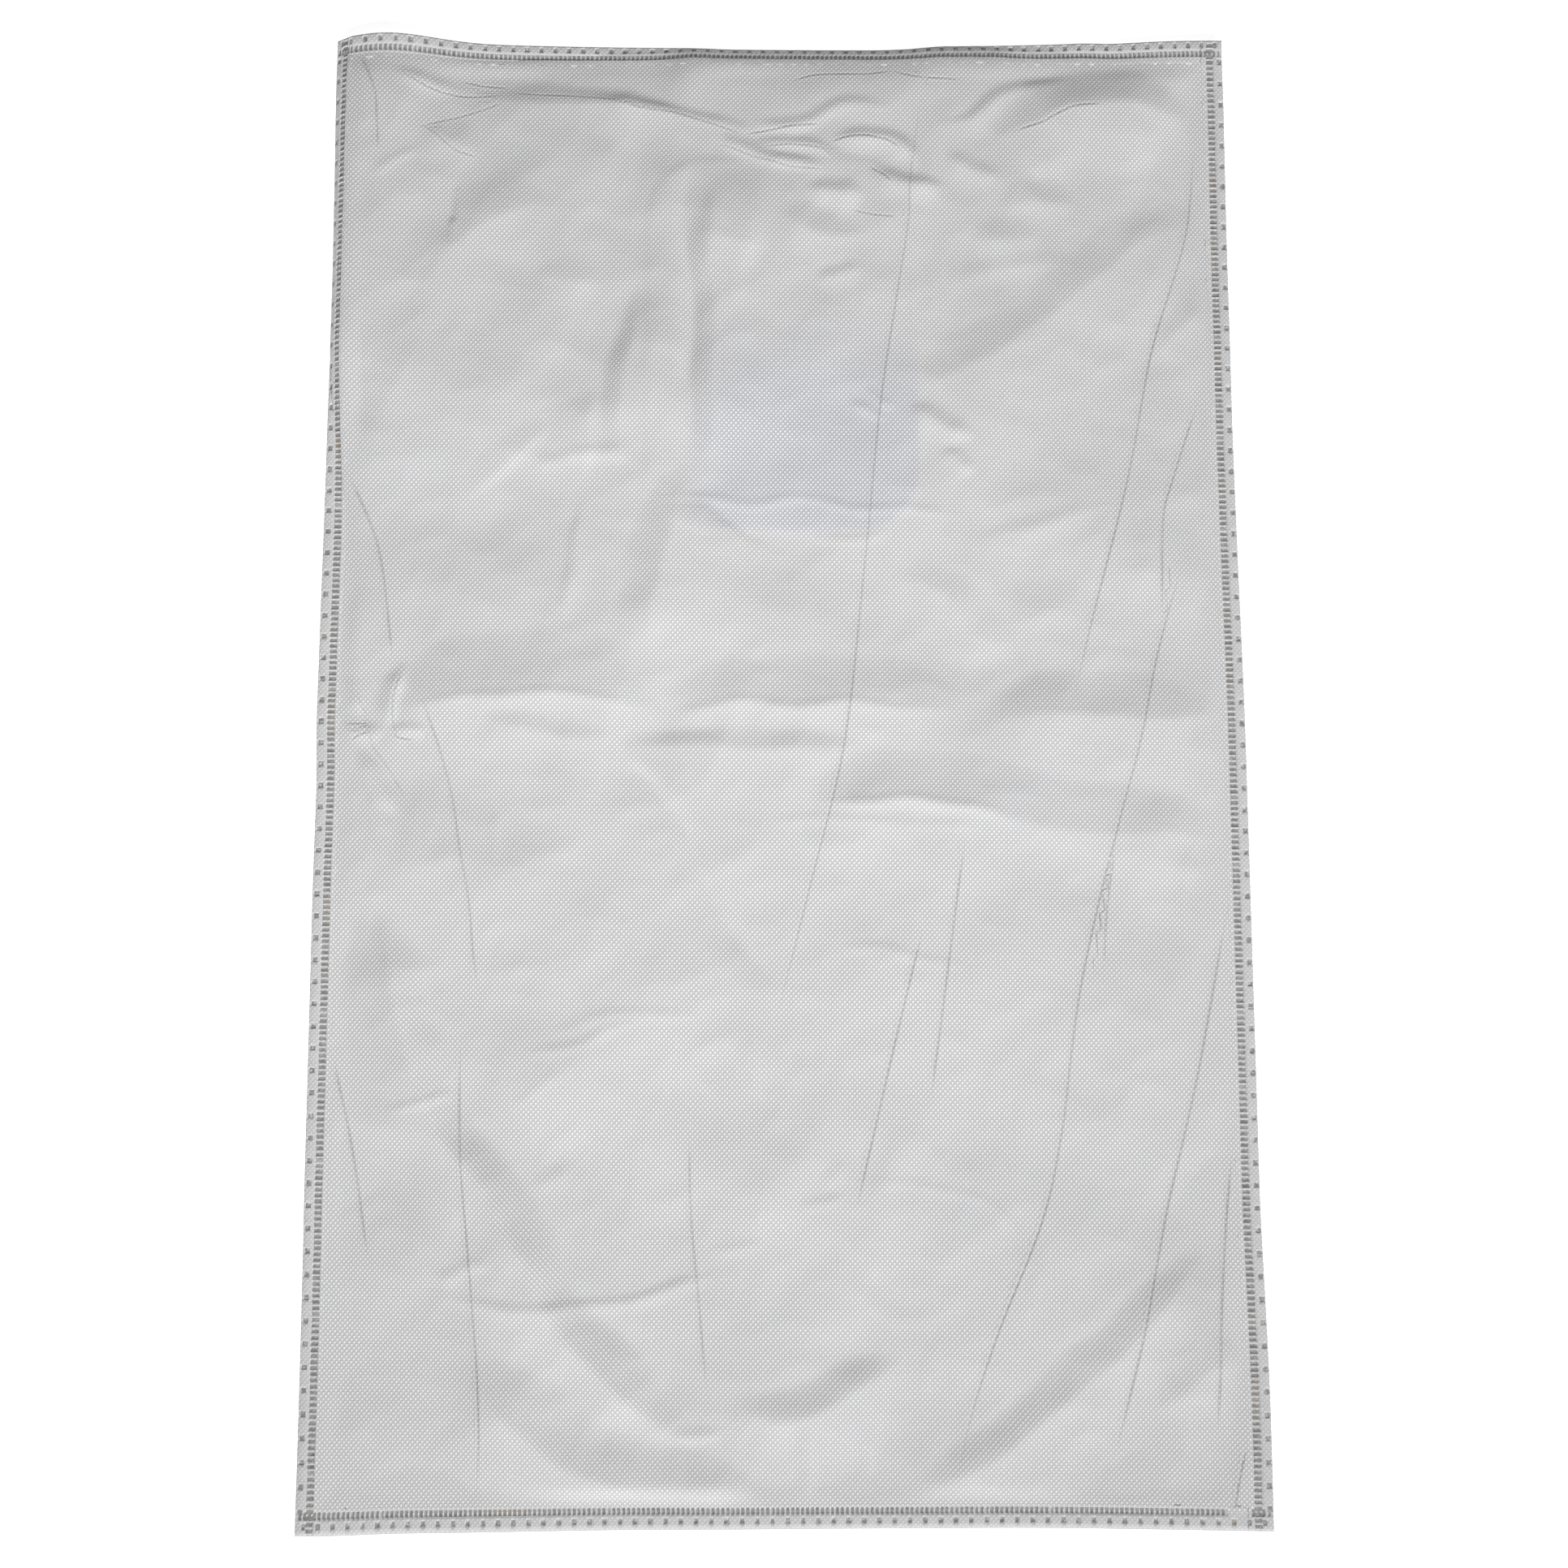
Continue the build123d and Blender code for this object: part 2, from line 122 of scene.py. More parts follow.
# Each fold is a line that the cloth is raised along, then its height, the width of its left flank and
# the width of its right flank, looking along the line.
FOLDS = [
    # collar end: the long sharp crease and the creases that run to it
    ([(-178, 369), (-150, 366), (-115, 364), (-80, 361), (-50, 355)], 2.7, 10, 40),
    ([(-120, 364), (-80, 361), (-50, 355), (-25, 348), (-12, 345)], 2.0, 6, 26),
    ([(-214, 383), (-198, 374), (-178, 369)], 1.3, 6, 9),
    ([(-202, 350), (-184, 341), (-166, 337)], 1.7, 14, 20),
    ([(-228, 320), (-212, 329), (-198, 335)], 0.7, 6, 5),
    ([(-200, 296), (-184, 281), (-166, 291), (-146, 298), (-125, 308)], 3.0, 32, 50),
    ([(-142, 264), (-122, 261), (-100, 262)], 1.0, 13, 22),
    ([(116, 341), (132, 349), (144, 352), (160, 361), (186, 362), (212, 360), (232, 353)], 5.6, 24, 60),
    ([(85, 350), (103, 354), (118, 365), (140, 373), (166, 380)], 2.0, 7, 20),
    # the cluster of wrinkles over the collar
    ([(-24, 350), (0, 350), (18, 354), (34, 361), (62, 361)], 1.6, 7, 9),
    ([(-40, 343), (-20, 337), (-4, 330), (12, 326), (24, 326)], 1.9, 6, 8),
    ([(-20, 341), (0, 339), (16, 337), (32, 331)], 1.5, 6, 7),
    ([(24, 341), (42, 343), (58, 342), (70, 334), (74, 322)], 2.6, 7, 12),
    ([(50, 326), (60, 318), (72, 314), (92, 315)], 2.4, 8, 14),
    ([(10, 312), (26, 311), (46, 312)], 2.2, 9, 16),
    ([(90, 336), (104, 326), (122, 320)], 1.6, 8, 14),
    ([(-4, 298), (18, 288), (46, 285)], 2.0, 14, 20),
    ([(16, 258), (42, 269)], 1.3, 7, 12),
    ([(-52, 286), (-30, 284), (-8, 278)], 2.2, 40, 60),
    ([(118, 300), (140, 305), (166, 307)], 1.8, 16, 30),
    ([(104, 284), (124, 286), (146, 286)], 1.4, 13, 22),
    ([(86, 258), (110, 266), (140, 272), (165, 273)], 0.6, 8, 10),
    # the long diagonal to the right seam
    ([(66, 198), (98, 210), (130, 227), (156, 248), (180, 269), (204, 287), (234, 302)], 2.6, 22, 52),
    ([(203, 214), (214, 230), (240, 254)], 1.2, 12, 20),
    # upright folds, left of the collar
    ([(-42, 148), (-38, 185), (-37, 225), (-38, 270), (-42, 310), (-46, 338)], 4.2, 15, 80),
    ([(-56, 160), (-58, 190), (-60, 235), (-61, 290)], 1.2, 22, 12),
    ([(-92, 160), (-88, 185), (-85, 212), (-80, 238), (-77, 256)], 3.4, 12, 60),
    ([(-110, 150), (-106, 172), (-101, 200)], 1.6, 20, 8),
    ([(-119, 66), (-115, 92), (-111, 118), (-108, 142)], 1.3, 5, 12),
    ([(-138, 153), (-126, 158), (-106, 163), (-86, 161), (-76, 152)], 0.8, 7, 7),
    ([(-178, 136), (-150, 157), (-120, 179)], 0.9, 14, 6),
    ([(-76, 48), (-70, 76), (-63, 108), (-55, 138), (-44, 150)], 4.2, 22, 70),
    # the packing crease across the collar, and what fans out from it
    ([(-76, 137), (-40, 137), (0, 136), (40, 134), (76, 131), (106, 129)], 0.7, 4, 4),
    ([(104, 116), (130, 122), (160, 128), (186, 137)], 0.9, 9, 12),
    ([(4, 117), (28, 116), (50, 119), (66, 127)], 0.6, 5, 7),
    ([(68, 189), (80, 183), (92, 177), (106, 173)], 2.0, 9, 14),
    ([(90, 167), (97, 156), (104, 151)], 1.4, 6, 10),
    ([(36, 191), (48, 188), (58, 181)], 1.1, 4, 4),
    ([(44, 200), (52, 192), (62, 188)], 0.8, 4, 4),
    ([(66, 100), (88, 84), (104, 66), (130, 56)], 1.8, 15, 26),
    ([(112, 88), (150, 76), (196, 64)], 0.7, 16, 18),
    ([(180, 107), (212, 98), (240, 92)], 2.0, 36, 50),
    # the band of folds across the middle
    ([(-218, 27), (-190, 26), (-160, 29), (-130, 32), (-104, 29), (-80, 24), (-60, 27)], 4.6, 36, 55),
    ([(-168, 19), (-138, 13), (-110, 8), (-88, 7)], 1.9, 9, 60),
    ([(-68, 24), (-20, 24), (20, 25), (60, 24), (100, 22)], 3.4, 28, 40),
    ([(-92, 4), (-60, 3), (-20, 2), (20, 2), (50, 4)], 2.4, 11, 40),
    ([(104, 14), (130, 20), (170, 21), (206, 18), (242, 23)], 3.6, 24, 44),
    ([(8, -27), (50, -26), (85, -28), (100, -29), (122, -35), (150, -41), (184, -44), (214, -43),
      (240, -47)], 4.2, 28, 60),
    ([(-20, -38), (50, -37), (120, -44)], 0.5, 4, 7),
    ([(-200, 26), (-160, 28), (-130, 31), (-104, 28), (-76, 23)], 0.7, 4, 10),
    ([(-64, 24), (-20, 24), (20, 25), (60, 24), (90, 22)], 0.6, 4, 10),
    ([(12, -27), (50, -26), (85, -28), (100, -29), (124, -36)], 0.8, 4, 7),
    # the star where the left seam is pinched
    ([(-227, 16), (-229, 30), (-233, 46)], 1.5, 5, 5),
    ([(-212, 10), (-209, 28), (-202, 50)], 2.2, 9, 6),
    ([(-214, 12), (-202, 12), (-188, 10)], 1.2, 4, 7),
    ([(-240, 14), (-226, 10), (-212, 13)], 1.4, 5, 6),
    ([(-228, 6), (-222, -6), (-214, -20), (-204, -34)], 2.2, 7, 10),
    ([(-220, -20), (-210, -48)], 0.8, 7, 9),
    # the long diagonal down the left side, and the slack at the lower left corner
    ([(-214, -84), (-206, -120), (-198, -152), (-186, -188), (-168, -216), (-148, -240), (-134, -264),
      (-126, -286), (-110, -304), (-90, -325), (-70, -343), (-50, -354)], 7.0, 20, 34),
    ([(-166, -312), (-146, -340), (-124, -358), (-100, -373), (-72, -382), (-40, -388), (0, -388)],
     6.4, 28, 50),
    ([(-60, -352), (-42, -353), (-27, -351)], 1.2, 7, 6),
    ([(-26, -328), (-12, -343), (6, -346), (26, -338), (46, -327), (70, -314)], 3.6, 17, 36),
    # the long diagonal at the lower right
    ([(70, -386), (96, -371), (122, -357), (146, -336), (170, -316), (190, -298), (206, -280), (222, -260)],
     4.6, 19, 70),
    ([(188, -340), (206, -332), (222, -319), (240, -316)], 2.4, 18, 40),
    # small ironed-in creases
    ([(-182, -280), (-150, -288), (-122, -290), (-94, -287), (-62, -281), (-22, -269)], 1.1, 4, 9),
    ([(-184, -271), (-174, -274), (-160, -269), (-146, -268)], 0.8, 5, 6),
    ([(-38, -261), (-7, -255)], 0.5, 4, 5),
    ([(-130, -148), (-104, -143), (-74, -139), (-34, -137)], 0.6, 5, 6),
    ([(-140, -161), (-112, -154), (-84, -146), (-66, -141)], 0.6, 5, 6),
    ([(-142, -186), (-108, -168)], 0.4, 5, 6),
    ([(-212, -187), (-190, -185), (-167, -182)], 0.7, 4, 4),
    ([(-128, -229), (-118, -221), (-104, -217)], 0.8, 7, 8),
    ([(-12, -188), (-14, -168), (-20, -146)], 0.6, 8, 8),
    ([(24, -108), (38, -105), (56, -104), (70, -109), (104, -115)], 0.5, 4, 6),
    ([(8, -239), (33, -231)], 0.6, 5, 6),
    ([(18, -227), (36, -215)], 0.6, 5, 6),
    ([(30, -222), (60, -226), (94, -231), (116, -243), (125, -257), (121, -278), (112, -300)], 0.4, 4, 5),
    ([(28, -248), (33, -270), (46, -286), (66, -293), (86, -288), (104, -266)], 0.6, 12, 12),
    ([(16, -384), (14, -346)], 0.8, 7, 7),
    ([(44, -384), (44, -340)], 0.7, 7, 7),
    ([(74, -338), (82, -300)], 0.6, 7, 8),
    ([(216, -104), (214, -76), (216, -47)], 0.9, 7, 9),
    ([(-152, -62), (-153, -30)], 0.5, 5, 6),
]

# Shallow troughs, as folds turned over.
TROUGHS = [
    ([(-92, 4), (-70, -16), (-50, -46), (-26, -94), (-5, -125)], 2.2, 7, 22),
    ([(-50, 162), (-49, 200), (-50, 250), (-52, 300)], 0.8, 8, 6),
]

# Long hair creases that the cloth left the roll with.
PLEATS = [
    [(79, 385), (74, 350), (70, 318), (69, 295), (62, 250), (53, 190), (44, 100), (33, 5), (15, -70),
     (1, -125), (-5, -150)],
    [(232, 345), (226, 292), (205, 225), (190, 155), (168, 75), (155, 25)],
    [(230, 195), (215, 153), (208, 128), (206, 75)],
    [(222, 120), (203, 55), (190, 0), (177, -45), (157, -125), (146, -200), (135, -245), (112, -300),
     (97, -345), (88, -385)],
    [(177, -50), (172, -85), (170, -112)],
    [(238, -75), (228, -125), (217, -175), (203, -230), (190, -285), (178, -335), (169, -368)],
    [(236, -205), (231, -250), (226, -300), (223, -352)],
    [(237, -358), (233, -375), (230, -392)],
    [(-196, 37), (-189, 18), (-183, 0), (-176, -26), (-172, -49), (-166, -79), (-163, -109), (-159, -130)],
    [(-169, -150), (-168, -200), (-160, -285), (-155, -340), (-156, -385)],
    [(-237, -160), (-226, -205), (-215, -266)],
    [(-237, 155), (-228, 135), (-218, 105), (-210, 50)],
    [(97, -45), (90, -95), (78, -182)],
    [(75, -90), (60, -150), (38, -242)],
    [(-48, -200), (-47, -240), (-43, -280), (-38, -332)],
    [(-234, 394), (-228, 380), (-224, 368), (-223, 354), (-222, 335)],
]

# Short crisp lines, where wrinkles meet or turn. They are weaker than the long ones.
WRINKLE_STRENGTH = 0.55
WRINKLE_LINES = [
    # over the collar
    [(-96, 365), (-79, 361), (-62, 358), (-49, 354), (-36, 350), (-22, 345)],
    [(-22, 345), (-18, 346), (-6, 348), (5, 350), (21, 351)],
    [(-37, 340), (-28, 337), (-17, 332), (-6, 329), (3, 326), (23, 324)],
    [(-11, 338), (3, 339), (14, 338), (23, 336), (29, 330)],
    [(25, 340), (34, 343), (47, 344), (58, 342), (66, 337)],
    [(48, 326), (56, 321), (60, 317)],
    [(3, 376), (16, 381), (48, 382), (61, 384)],
    [(61, 384), (74, 380), (99, 378)],
    [(38, 301), (51, 298), (63, 297)],
    [(128, 347), (136, 350), (146, 353), (161, 361), (180, 363)],
    # the collar end, left
    [(-154, 371), (-136, 369), (-114, 368), (-91, 365), (-69, 360)],
    [(-210, 379), (-197, 372), (-181, 368), (-156, 369)],
    [(-203, 348), (-181, 355), (-170, 359), (-156, 365)],
    [(-201, 352), (-192, 345), (-180, 335), (-169, 332)],
    [(-179, 377), (-168, 375), (-154, 374)],
    # round the pinch in the left seam
    [(-204, 46), (-209, 31), (-209, 16), (-207, 9), (-195, 7)],
    [(-222, 19), (-220, 4), (-213, -5), (-207, -15), (-201, -26)],
    [(-229, 34), (-227, 28), (-224, 22)],
    [(-233, 16), (-222, 16)],
    [(-232, 7), (-227, 10), (-221, 12)],
]


# --- Small helpers on arrays ---

def smoothstep(low, high, t):
    """0 below low, 1 above high, and smooth between them."""
    q = np.clip((t - low) / (high - low), 0.0, 1.0)
    return q * q * (3 - 2 * q)


def window(t, low, high, soft):
    """1 between low and high, and 0 outside them."""
    return smoothstep(low - soft, low + soft, t) * (1 - smoothstep(high - soft, high + soft, t))


def mix(a, b, t):
    return a + (b - a) * t


def ripple(u, v, wavelength, seed, waves=14):
    """A smooth random surface of about unit height with that wavelength."""
    random = np.random.default_rng(seed)
    total = np.zeros_like(u, dtype=float)
    for _ in range(waves):
        heading = random.uniform(0, 2 * math.pi)
        number = 2 * math.pi / (wavelength * random.uniform(0.7, 1.6))
        phase = random.uniform(0, 2 * math.pi)
        total += np.cos(number * (u * math.cos(heading) + v * math.sin(heading)) + phase)
    return total * math.sqrt(2 / waves)


def smooth_line(points, step=5.0):
    """A Catmull-Rom curve through the points, as close straight steps."""
    p = np.array(points, dtype=float)
    p = np.vstack([2 * p[0] - p[1], p, 2 * p[-1] - p[-2]])
    curve = []
    for a, b, c, d in zip(p[:-3], p[1:-2], p[2:-1], p[3:]):
        count = max(1, int(np.hypot(*(c - b)) / step))
        t = np.linspace(0, 1, count, endpoint=False)[:, None]
        square = (2 * a - 5 * b + 4 * c - d) * t**2
        cube = (3 * b - 3 * c + d - a) * t**3
        curve.append(0.5 * (2 * b + (c - a) * t + square + cube))
    return np.vstack(curve + [p[-2:-1]])


def beside_line(u, v, line):
    """The distance to a line, on which side it is, and how far along, for every point."""
    steps = np.diff(line, axis=0)
    lengths = np.hypot(steps[:, 0], steps[:, 1])
    starts = np.concatenate([[0], np.cumsum(lengths)])
    nearest = np.full(u.shape, np.inf)
    side = np.ones(u.shape)
    along = np.zeros(u.shape)
    for (pu, pv), (du, dv), length, start in zip(line, steps, lengths, starts):
        t = np.clip(((u - pu) * du + (v - pv) * dv) / length**2, 0, 1)
        away = np.hypot(u - pu - t * du, v - pv - t * dv)
        closer = away < nearest
        nearest = np.where(closer, away, nearest)
        side = np.where(closer, np.where(du * (v - pv) - dv * (u - pu) >= 0, 1.0, -1.0), side)
        along = np.where(closer, start + t * length, along)
    return nearest, side, along / starts[-1]


def near_line(u, v, line, reach):
    """Which points are inside the box round a line, with that much room on every side."""
    return (
        (u > line[:, 0].min() - reach) & (u < line[:, 0].max() + reach)
        & (v > line[:, 1].min() - reach) & (v < line[:, 1].max() + reach)
    )


def add_fold(height, u, v, fold, sign=1.0):
    """Raises the cloth along one fold, which dies away at both ends. With sign -1 it is a trough."""
    points, rise, left_run, right_run = fold
    line = smooth_line(points)
    near = near_line(u, v, line, max(left_run, right_run))
    if not near.any():
        return
    away, side, along = beside_line(u[near], v[near], line)
    length = np.hypot(*np.diff(line, axis=0).T).sum()
    fade = min(0.32, FOLD_FADE / length)
    taper = smoothstep(0, fade, along) * smoothstep(0, fade, 1 - along)
    run = np.where(side > 0, left_run, right_run) * (0.45 + 0.55 * taper)
    flank = np.clip(away / run, 0, 1)
    ridge = (1 - flank) ** np.where(side > 0, 1.15, 2.2)
    section = mix(0.5 * (1 + np.cos(math.pi * flank)), ridge, CRISPNESS)
    height[near] += sign * FOLD_DEPTH * rise * section * taper


# --- The two walls ---

def edge_distances(u, v):
    """How far each point is from the left, right, top and bottom cut edges."""
    return u + HALF_WIDTH, HALF_WIDTH - u, HALF_LENGTH - v, v + HALF_LENGTH


def nearest_edge(u, v):
    """How far each point is from the nearest cut edge."""
    return np.minimum.reduce(edge_distances(u, v))


def roll_of(v):
    """How much the left edge is rolled under: all of it at the collar end, none past the middle."""
    return smoothstep(110, 235, v)


def seam_lift(u, v):
    """How high the welded edge itself is off the floor."""
    left, _, top, _ = edge_distances(u, v)
    corner = 8.5 * np.exp(-((u + 220) / 36) ** 2) * (1 - np.exp(-left / 12))
    far_corner = 3.5 * smoothstep(150, 235, u)
    wave = 0.25 * (1 + ripple(u, v, 120, 5))
    return (corner + far_corner) * np.exp(-top / 34) + wave


def collar_distance(u, v):
    """The distance outside the collar's rounded outline, negative inside it."""
    across = np.abs(u - COLLAR_X) - (COLLAR_HALF_WIDTH - COLLAR_CORNER)
    along = np.abs(v - COLLAR_Y) - (COLLAR_HALF_LENGTH - COLLAR_CORNER)
    outside = np.hypot(np.maximum(across, 0), np.maximum(along, 0))
    return outside + np.minimum(np.maximum(across, along), 0) - COLLAR_CORNER


def risen(distance, start, run, steep=0.04):
    """How much of its full height the wall has at a distance from an edge. A steep share rises at once."""
    inside = np.maximum(distance - start, 0)
    return 1 - steep * np.exp(-inside / 6) - (1 - steep) * np.exp(-inside / run)


def risen_from_top(u, top):
    """The same at the collar end, where the wall's middle drops steeply, over the margin too."""
    sharp = window(u, -66, 135, 16)
    start = mix(SEAM_WIDTH - 3, 1, window(u, -110, 170, 70))
    return risen(top, start, mix(TOP_RUN, STEEP_RUN, sharp), 0.15 + 0.15 * sharp)


def back_wall(u, v):
    """The height of the back wall's inside face."""
    left, right, top, bottom = edge_distances(u, v)
    roll = roll_of(v)
    wander_u = u + 0.9 * ripple(u, v, 45, 11)
    wander_v = v + 0.9 * ripple(u, v, 45, 12)

    pillow = (
        risen(left, mix(SEAM_WIDTH, 0, roll), mix(EDGE_RUN, ROLL_RUN, roll), 0.04 + 0.26 * roll)
        * risen(right, SEAM_WIDTH, EDGE_RUN)
        * risen_from_top(u, top)
        * risen(bottom, SEAM_WIDTH, BOTTOM_RUN)
    )
    creased = np.zeros_like(u, dtype=float)
    for fold in FOLDS:
        add_fold(creased, wander_u, wander_v, fold)
    for trough in TROUGHS:
        add_fold(creased, wander_u, wander_v, trough, -1.0)
    slack = sum(rise * ripple(u, v, wavelength, seed) for rise, wavelength, seed in SLACK_WAVES)
    crumple = sum(depth * np.abs(ripple(u, v, wavelength, seed)) for depth, wavelength, seed in CRUMPLES)
    free = smoothstep(SEAM_WIDTH - 1, SEAM_WIDTH + 10, nearest_edge(u, v))
    outside = collar_distance(u, v)
    hump = COLLAR_HUMP * (1 - smoothstep(-14, 26, outside))
    hump += COLLAR_RIM * (1 - smoothstep(-2.5, 2.5, outside))
    height = seam_lift(u, v) + STAND * pillow + free * (creased + slack - crumple + hump)
    return WALL + np.maximum(height, FLOOR_GAP)


def front_wall(u, v):
    """The height of the front wall's inside face, which lies on the floor and over the collar."""
    left, right, top, _ = edge_distances(u, v)
    free = smoothstep(SEAM_WIDTH - 1, SEAM_WIDTH + 40, nearest_edge(u, v))
    roll = roll_of(v)
    rolled = (1 - np.exp(-left / ROLL_RUN)) * np.exp(-left / 30)
    rolled = rolled * (1 - np.exp(-np.maximum(top - 10, 0) / 38))
    from_sides = risen(left, SEAM_WIDTH, EDGE_RUN) * risen(right, SEAM_WIDTH, EDGE_RUN)
    lifted = risen_from_top(u, SEAM_WIDTH) * from_sides
    lifted = lifted * (1 - smoothstep(SEAM_WIDTH, SEAM_WIDTH + 35, top))
    edge = WALL + seam_lift(u, v) + STAND * np.maximum(roll * rolled, lifted)
    outside = collar_distance(u, v)
    over_collar = 1 - smoothstep(1.5, 18, outside)
    slack = 0.15 * (1 + ripple(u, v, 80, 31)) * smoothstep(20, 60, outside)
    ground = WALL + mix(FLOOR_GAP + slack, COLLAR_TOP, over_collar)
    return np.minimum(np.maximum(mix(edge, ground, free), WALL + FLOOR_GAP), back_wall(u, v))


def drawn_in(u, v):
    """Where a flat point of the cloth comes to lie, seen from above."""
    left, right, top, bottom = edge_distances(u, v)
    past_seam = np.exp(-np.maximum(left - SEAM_WIDTH, 0) / 50)
    tuck = ROLL_TUCK * roll_of(v) * np.minimum(left / SEAM_WIDTH, 1) * past_seam
    narrowed = 2.4 * smoothstep(-400, 400, v) * (u / HALF_WIDTH)
    # how far each edge lies off its straight place, along its own length
    top_edge = 1.9 + 3.2 * np.exp(-((u + 222) / 34) ** 2) - 2.0 * window(u, -120, 130, 90)
    top_edge += 1.6 * smoothstep(120, 235, u)
    top_edge += 1.3 * window(u, 80, 178, 12) - 0.8 * window(u, -40, 66, 15)
    bottom_edge = 2.4 * window(u, -140, 190, 90) - 1.2 * smoothstep(-190, -245, u)
    bottom_edge -= 2.4 * (1 - smoothstep(-120, 260, u))
    left_edge = 2.6 * smoothstep(-20, -400, v) - 1.3 * smoothstep(-25, 25, v)
    left_edge -= 1.5 * smoothstep(250, 400, v)
    right_edge = 2.2 * smoothstep(-230, -340, v) - 1.9 * smoothstep(-10, 200, v)
    right_edge -= 0.6 * smoothstep(360, 395, v)
    x = u - tuck - narrowed + left_edge * np.exp(-left / 60) + right_edge * np.exp(-right / 60)
    y = v + top_edge * np.exp(-top / 40) + bottom_edge * np.exp(-bottom / 40)
    return x, y


def lay(u, v, wall, offset):
    """Grid positions of a sheet that lies on a wall's inside face, offset along the wall's normal."""
    x, y = drawn_in(u, v)
    p = np.stack([x, y, wall(u, v)], axis=-1)
    across = np.gradient(p, axis=1)
    along = np.gradient(p, axis=0)
    normal = np.cross(across, along)
    normal /= np.linalg.norm(normal, axis=-1, keepdims=True)
    return p + np.asarray(offset)[..., None] * normal


# --- Meshes ---

def grid_faces(rows, columns, first=0, flip=False):
    """Quads of a grid whose points are stored row by row."""
    r, c = np.meshgrid(np.arange(rows - 1), np.arange(columns - 1), indexing="ij")
    a = first + r * columns + c
    quads = np.stack([a, a + 1, a + columns + 1, a + columns], axis=-1).reshape(-1, 4)
    return quads[:, ::-1] if flip else quads


def add_object(name, data):
    """An object in the scene."""
    added = bpy.data.objects.new(name, data)
    bpy.context.scene.collection.objects.link(added)
    return added


def new_piece(name, points_mm, faces, material):
    """A smooth mesh object from points in millimetres."""
    mesh = bpy.data.meshes.new(name)
    mesh.from_pydata((np.asarray(points_mm) * MM).tolist(), [], np.asarray(faces).tolist())
    mesh.materials.append(material)
    mesh.validate()
    mesh.polygons.foreach_set("use_smooth", [True] * len(mesh.polygons))
    return add_object(name, mesh)


def store(piece, name, values, kind="FLOAT"):
    """Keeps a number or a vector for each of a mesh's points, for its material to read."""
    attribute = piece.data.attributes.new(name, kind, "POINT")
    key = "value" if kind == "FLOAT" else "vector"
    attribute.data.foreach_set(key, np.asarray(values, dtype=np.float32).ravel())


def store_flat_place(piece, u, v):
    """Each point's place on the flat cloth, in metres."""
    flat = np.stack([u.ravel(), v.ravel(), np.zeros(u.size)], axis=-1) * MM
    store(piece, "flat_place", flat, "FLOAT_VECTOR")


def beside_creases(u, v):
    """How far each point is from the nearest crease line, in metres and by side, and its sharpness."""
    offset = np.full(u.shape, 40.0)  # well clear of every line
    sharpness = np.zeros(u.shape)
    random = np.random.default_rng(61)
    lines = [(pleat, 1.0) for pleat in PLEATS] + [(wrinkle, WRINKLE_STRENGTH) for wrinkle in WRINKLE_LINES]
    for points, strongest in lines:
        line = smooth_line(points, 6.0)
        strength = random.uniform(0.65, 1.0) * strongest
        near = near_line(u, v, line, 8)
        away, side, along = beside_line(u[near], v[near], line)
        closer = away < np.abs(offset[near])
        offset[near] = np.where(closer, away * side, offset[near])
        ends = smoothstep(0, 0.15, along) * smoothstep(0, 0.15, 1 - along)
        broken = 0.85 + 0.15 * np.cos(along * 19 + strength * 40)
        beside = 1 - smoothstep(3, 5, away)
        sharpness[near] = np.where(closer, strength * ends * broken * beside, sharpness[near])
    return offset * MM, sharpness


def collar_shadow(u, v):
    """1 where the collar's rounded lower end shows through the cloth as painted shade, fading past its
    edge.
    """
    over = 1 - smoothstep(-2.5, 1.5, collar_distance(u, v))
    return over * smoothstep(-60, -25, u) * (1 - smoothstep(175, 260, v))


def make_ply(name, wall, offset, spacing, material, hole=None):
    """One ply of a wall, as a sheet from seam to seam."""
    reach_u = HALF_WIDTH - SEAM_WIDTH + LAP
    reach_v = HALF_LENGTH - SEAM_WIDTH + LAP
    columns = int(2 * reach_u / spacing) + 1
    rows = int(2 * reach_v / spacing) + 1
    u, v = np.meshgrid(np.linspace(-reach_u, reach_u, columns), np.linspace(-reach_v, reach_v, rows))
    faces = grid_faces(rows, columns)
    if hole:
        middle_u, middle_v = u.ravel()[faces].mean(axis=1), v.ravel()[faces].mean(axis=1)
        outside = np.hypot(middle_u - COLLAR_X, middle_v - PORT_Y) > hole
        rim = np.intersect1d(faces[outside], faces[~outside])
        out_u, out_v = u.ravel()[rim] - COLLAR_X, v.ravel()[rim] - PORT_Y
        stretch = hole / np.hypot(out_u, out_v)
        u.ravel()[rim] = COLLAR_X + out_u * stretch
        v.ravel()[rim] = PORT_Y + out_v * stretch
        faces = faces[outside]
    past_seam = nearest_edge(u, v) - SEAM_WIDTH
    proud = 1 + 0.07 * (1 - smoothstep(0, 3, past_seam))  # so the ply lies over the margin
    points = lay(u, v, wall, offset * proud).reshape(-1, 3)
    used, faces = np.unique(faces, return_inverse=True)
    u, v = u.ravel()[used], v.ravel()[used]
    piece = new_piece(name, points[used], faces.reshape(-1, 4), material)
    store_flat_place(piece, u, v)
    return piece, u, v


# --- Welded seams ---

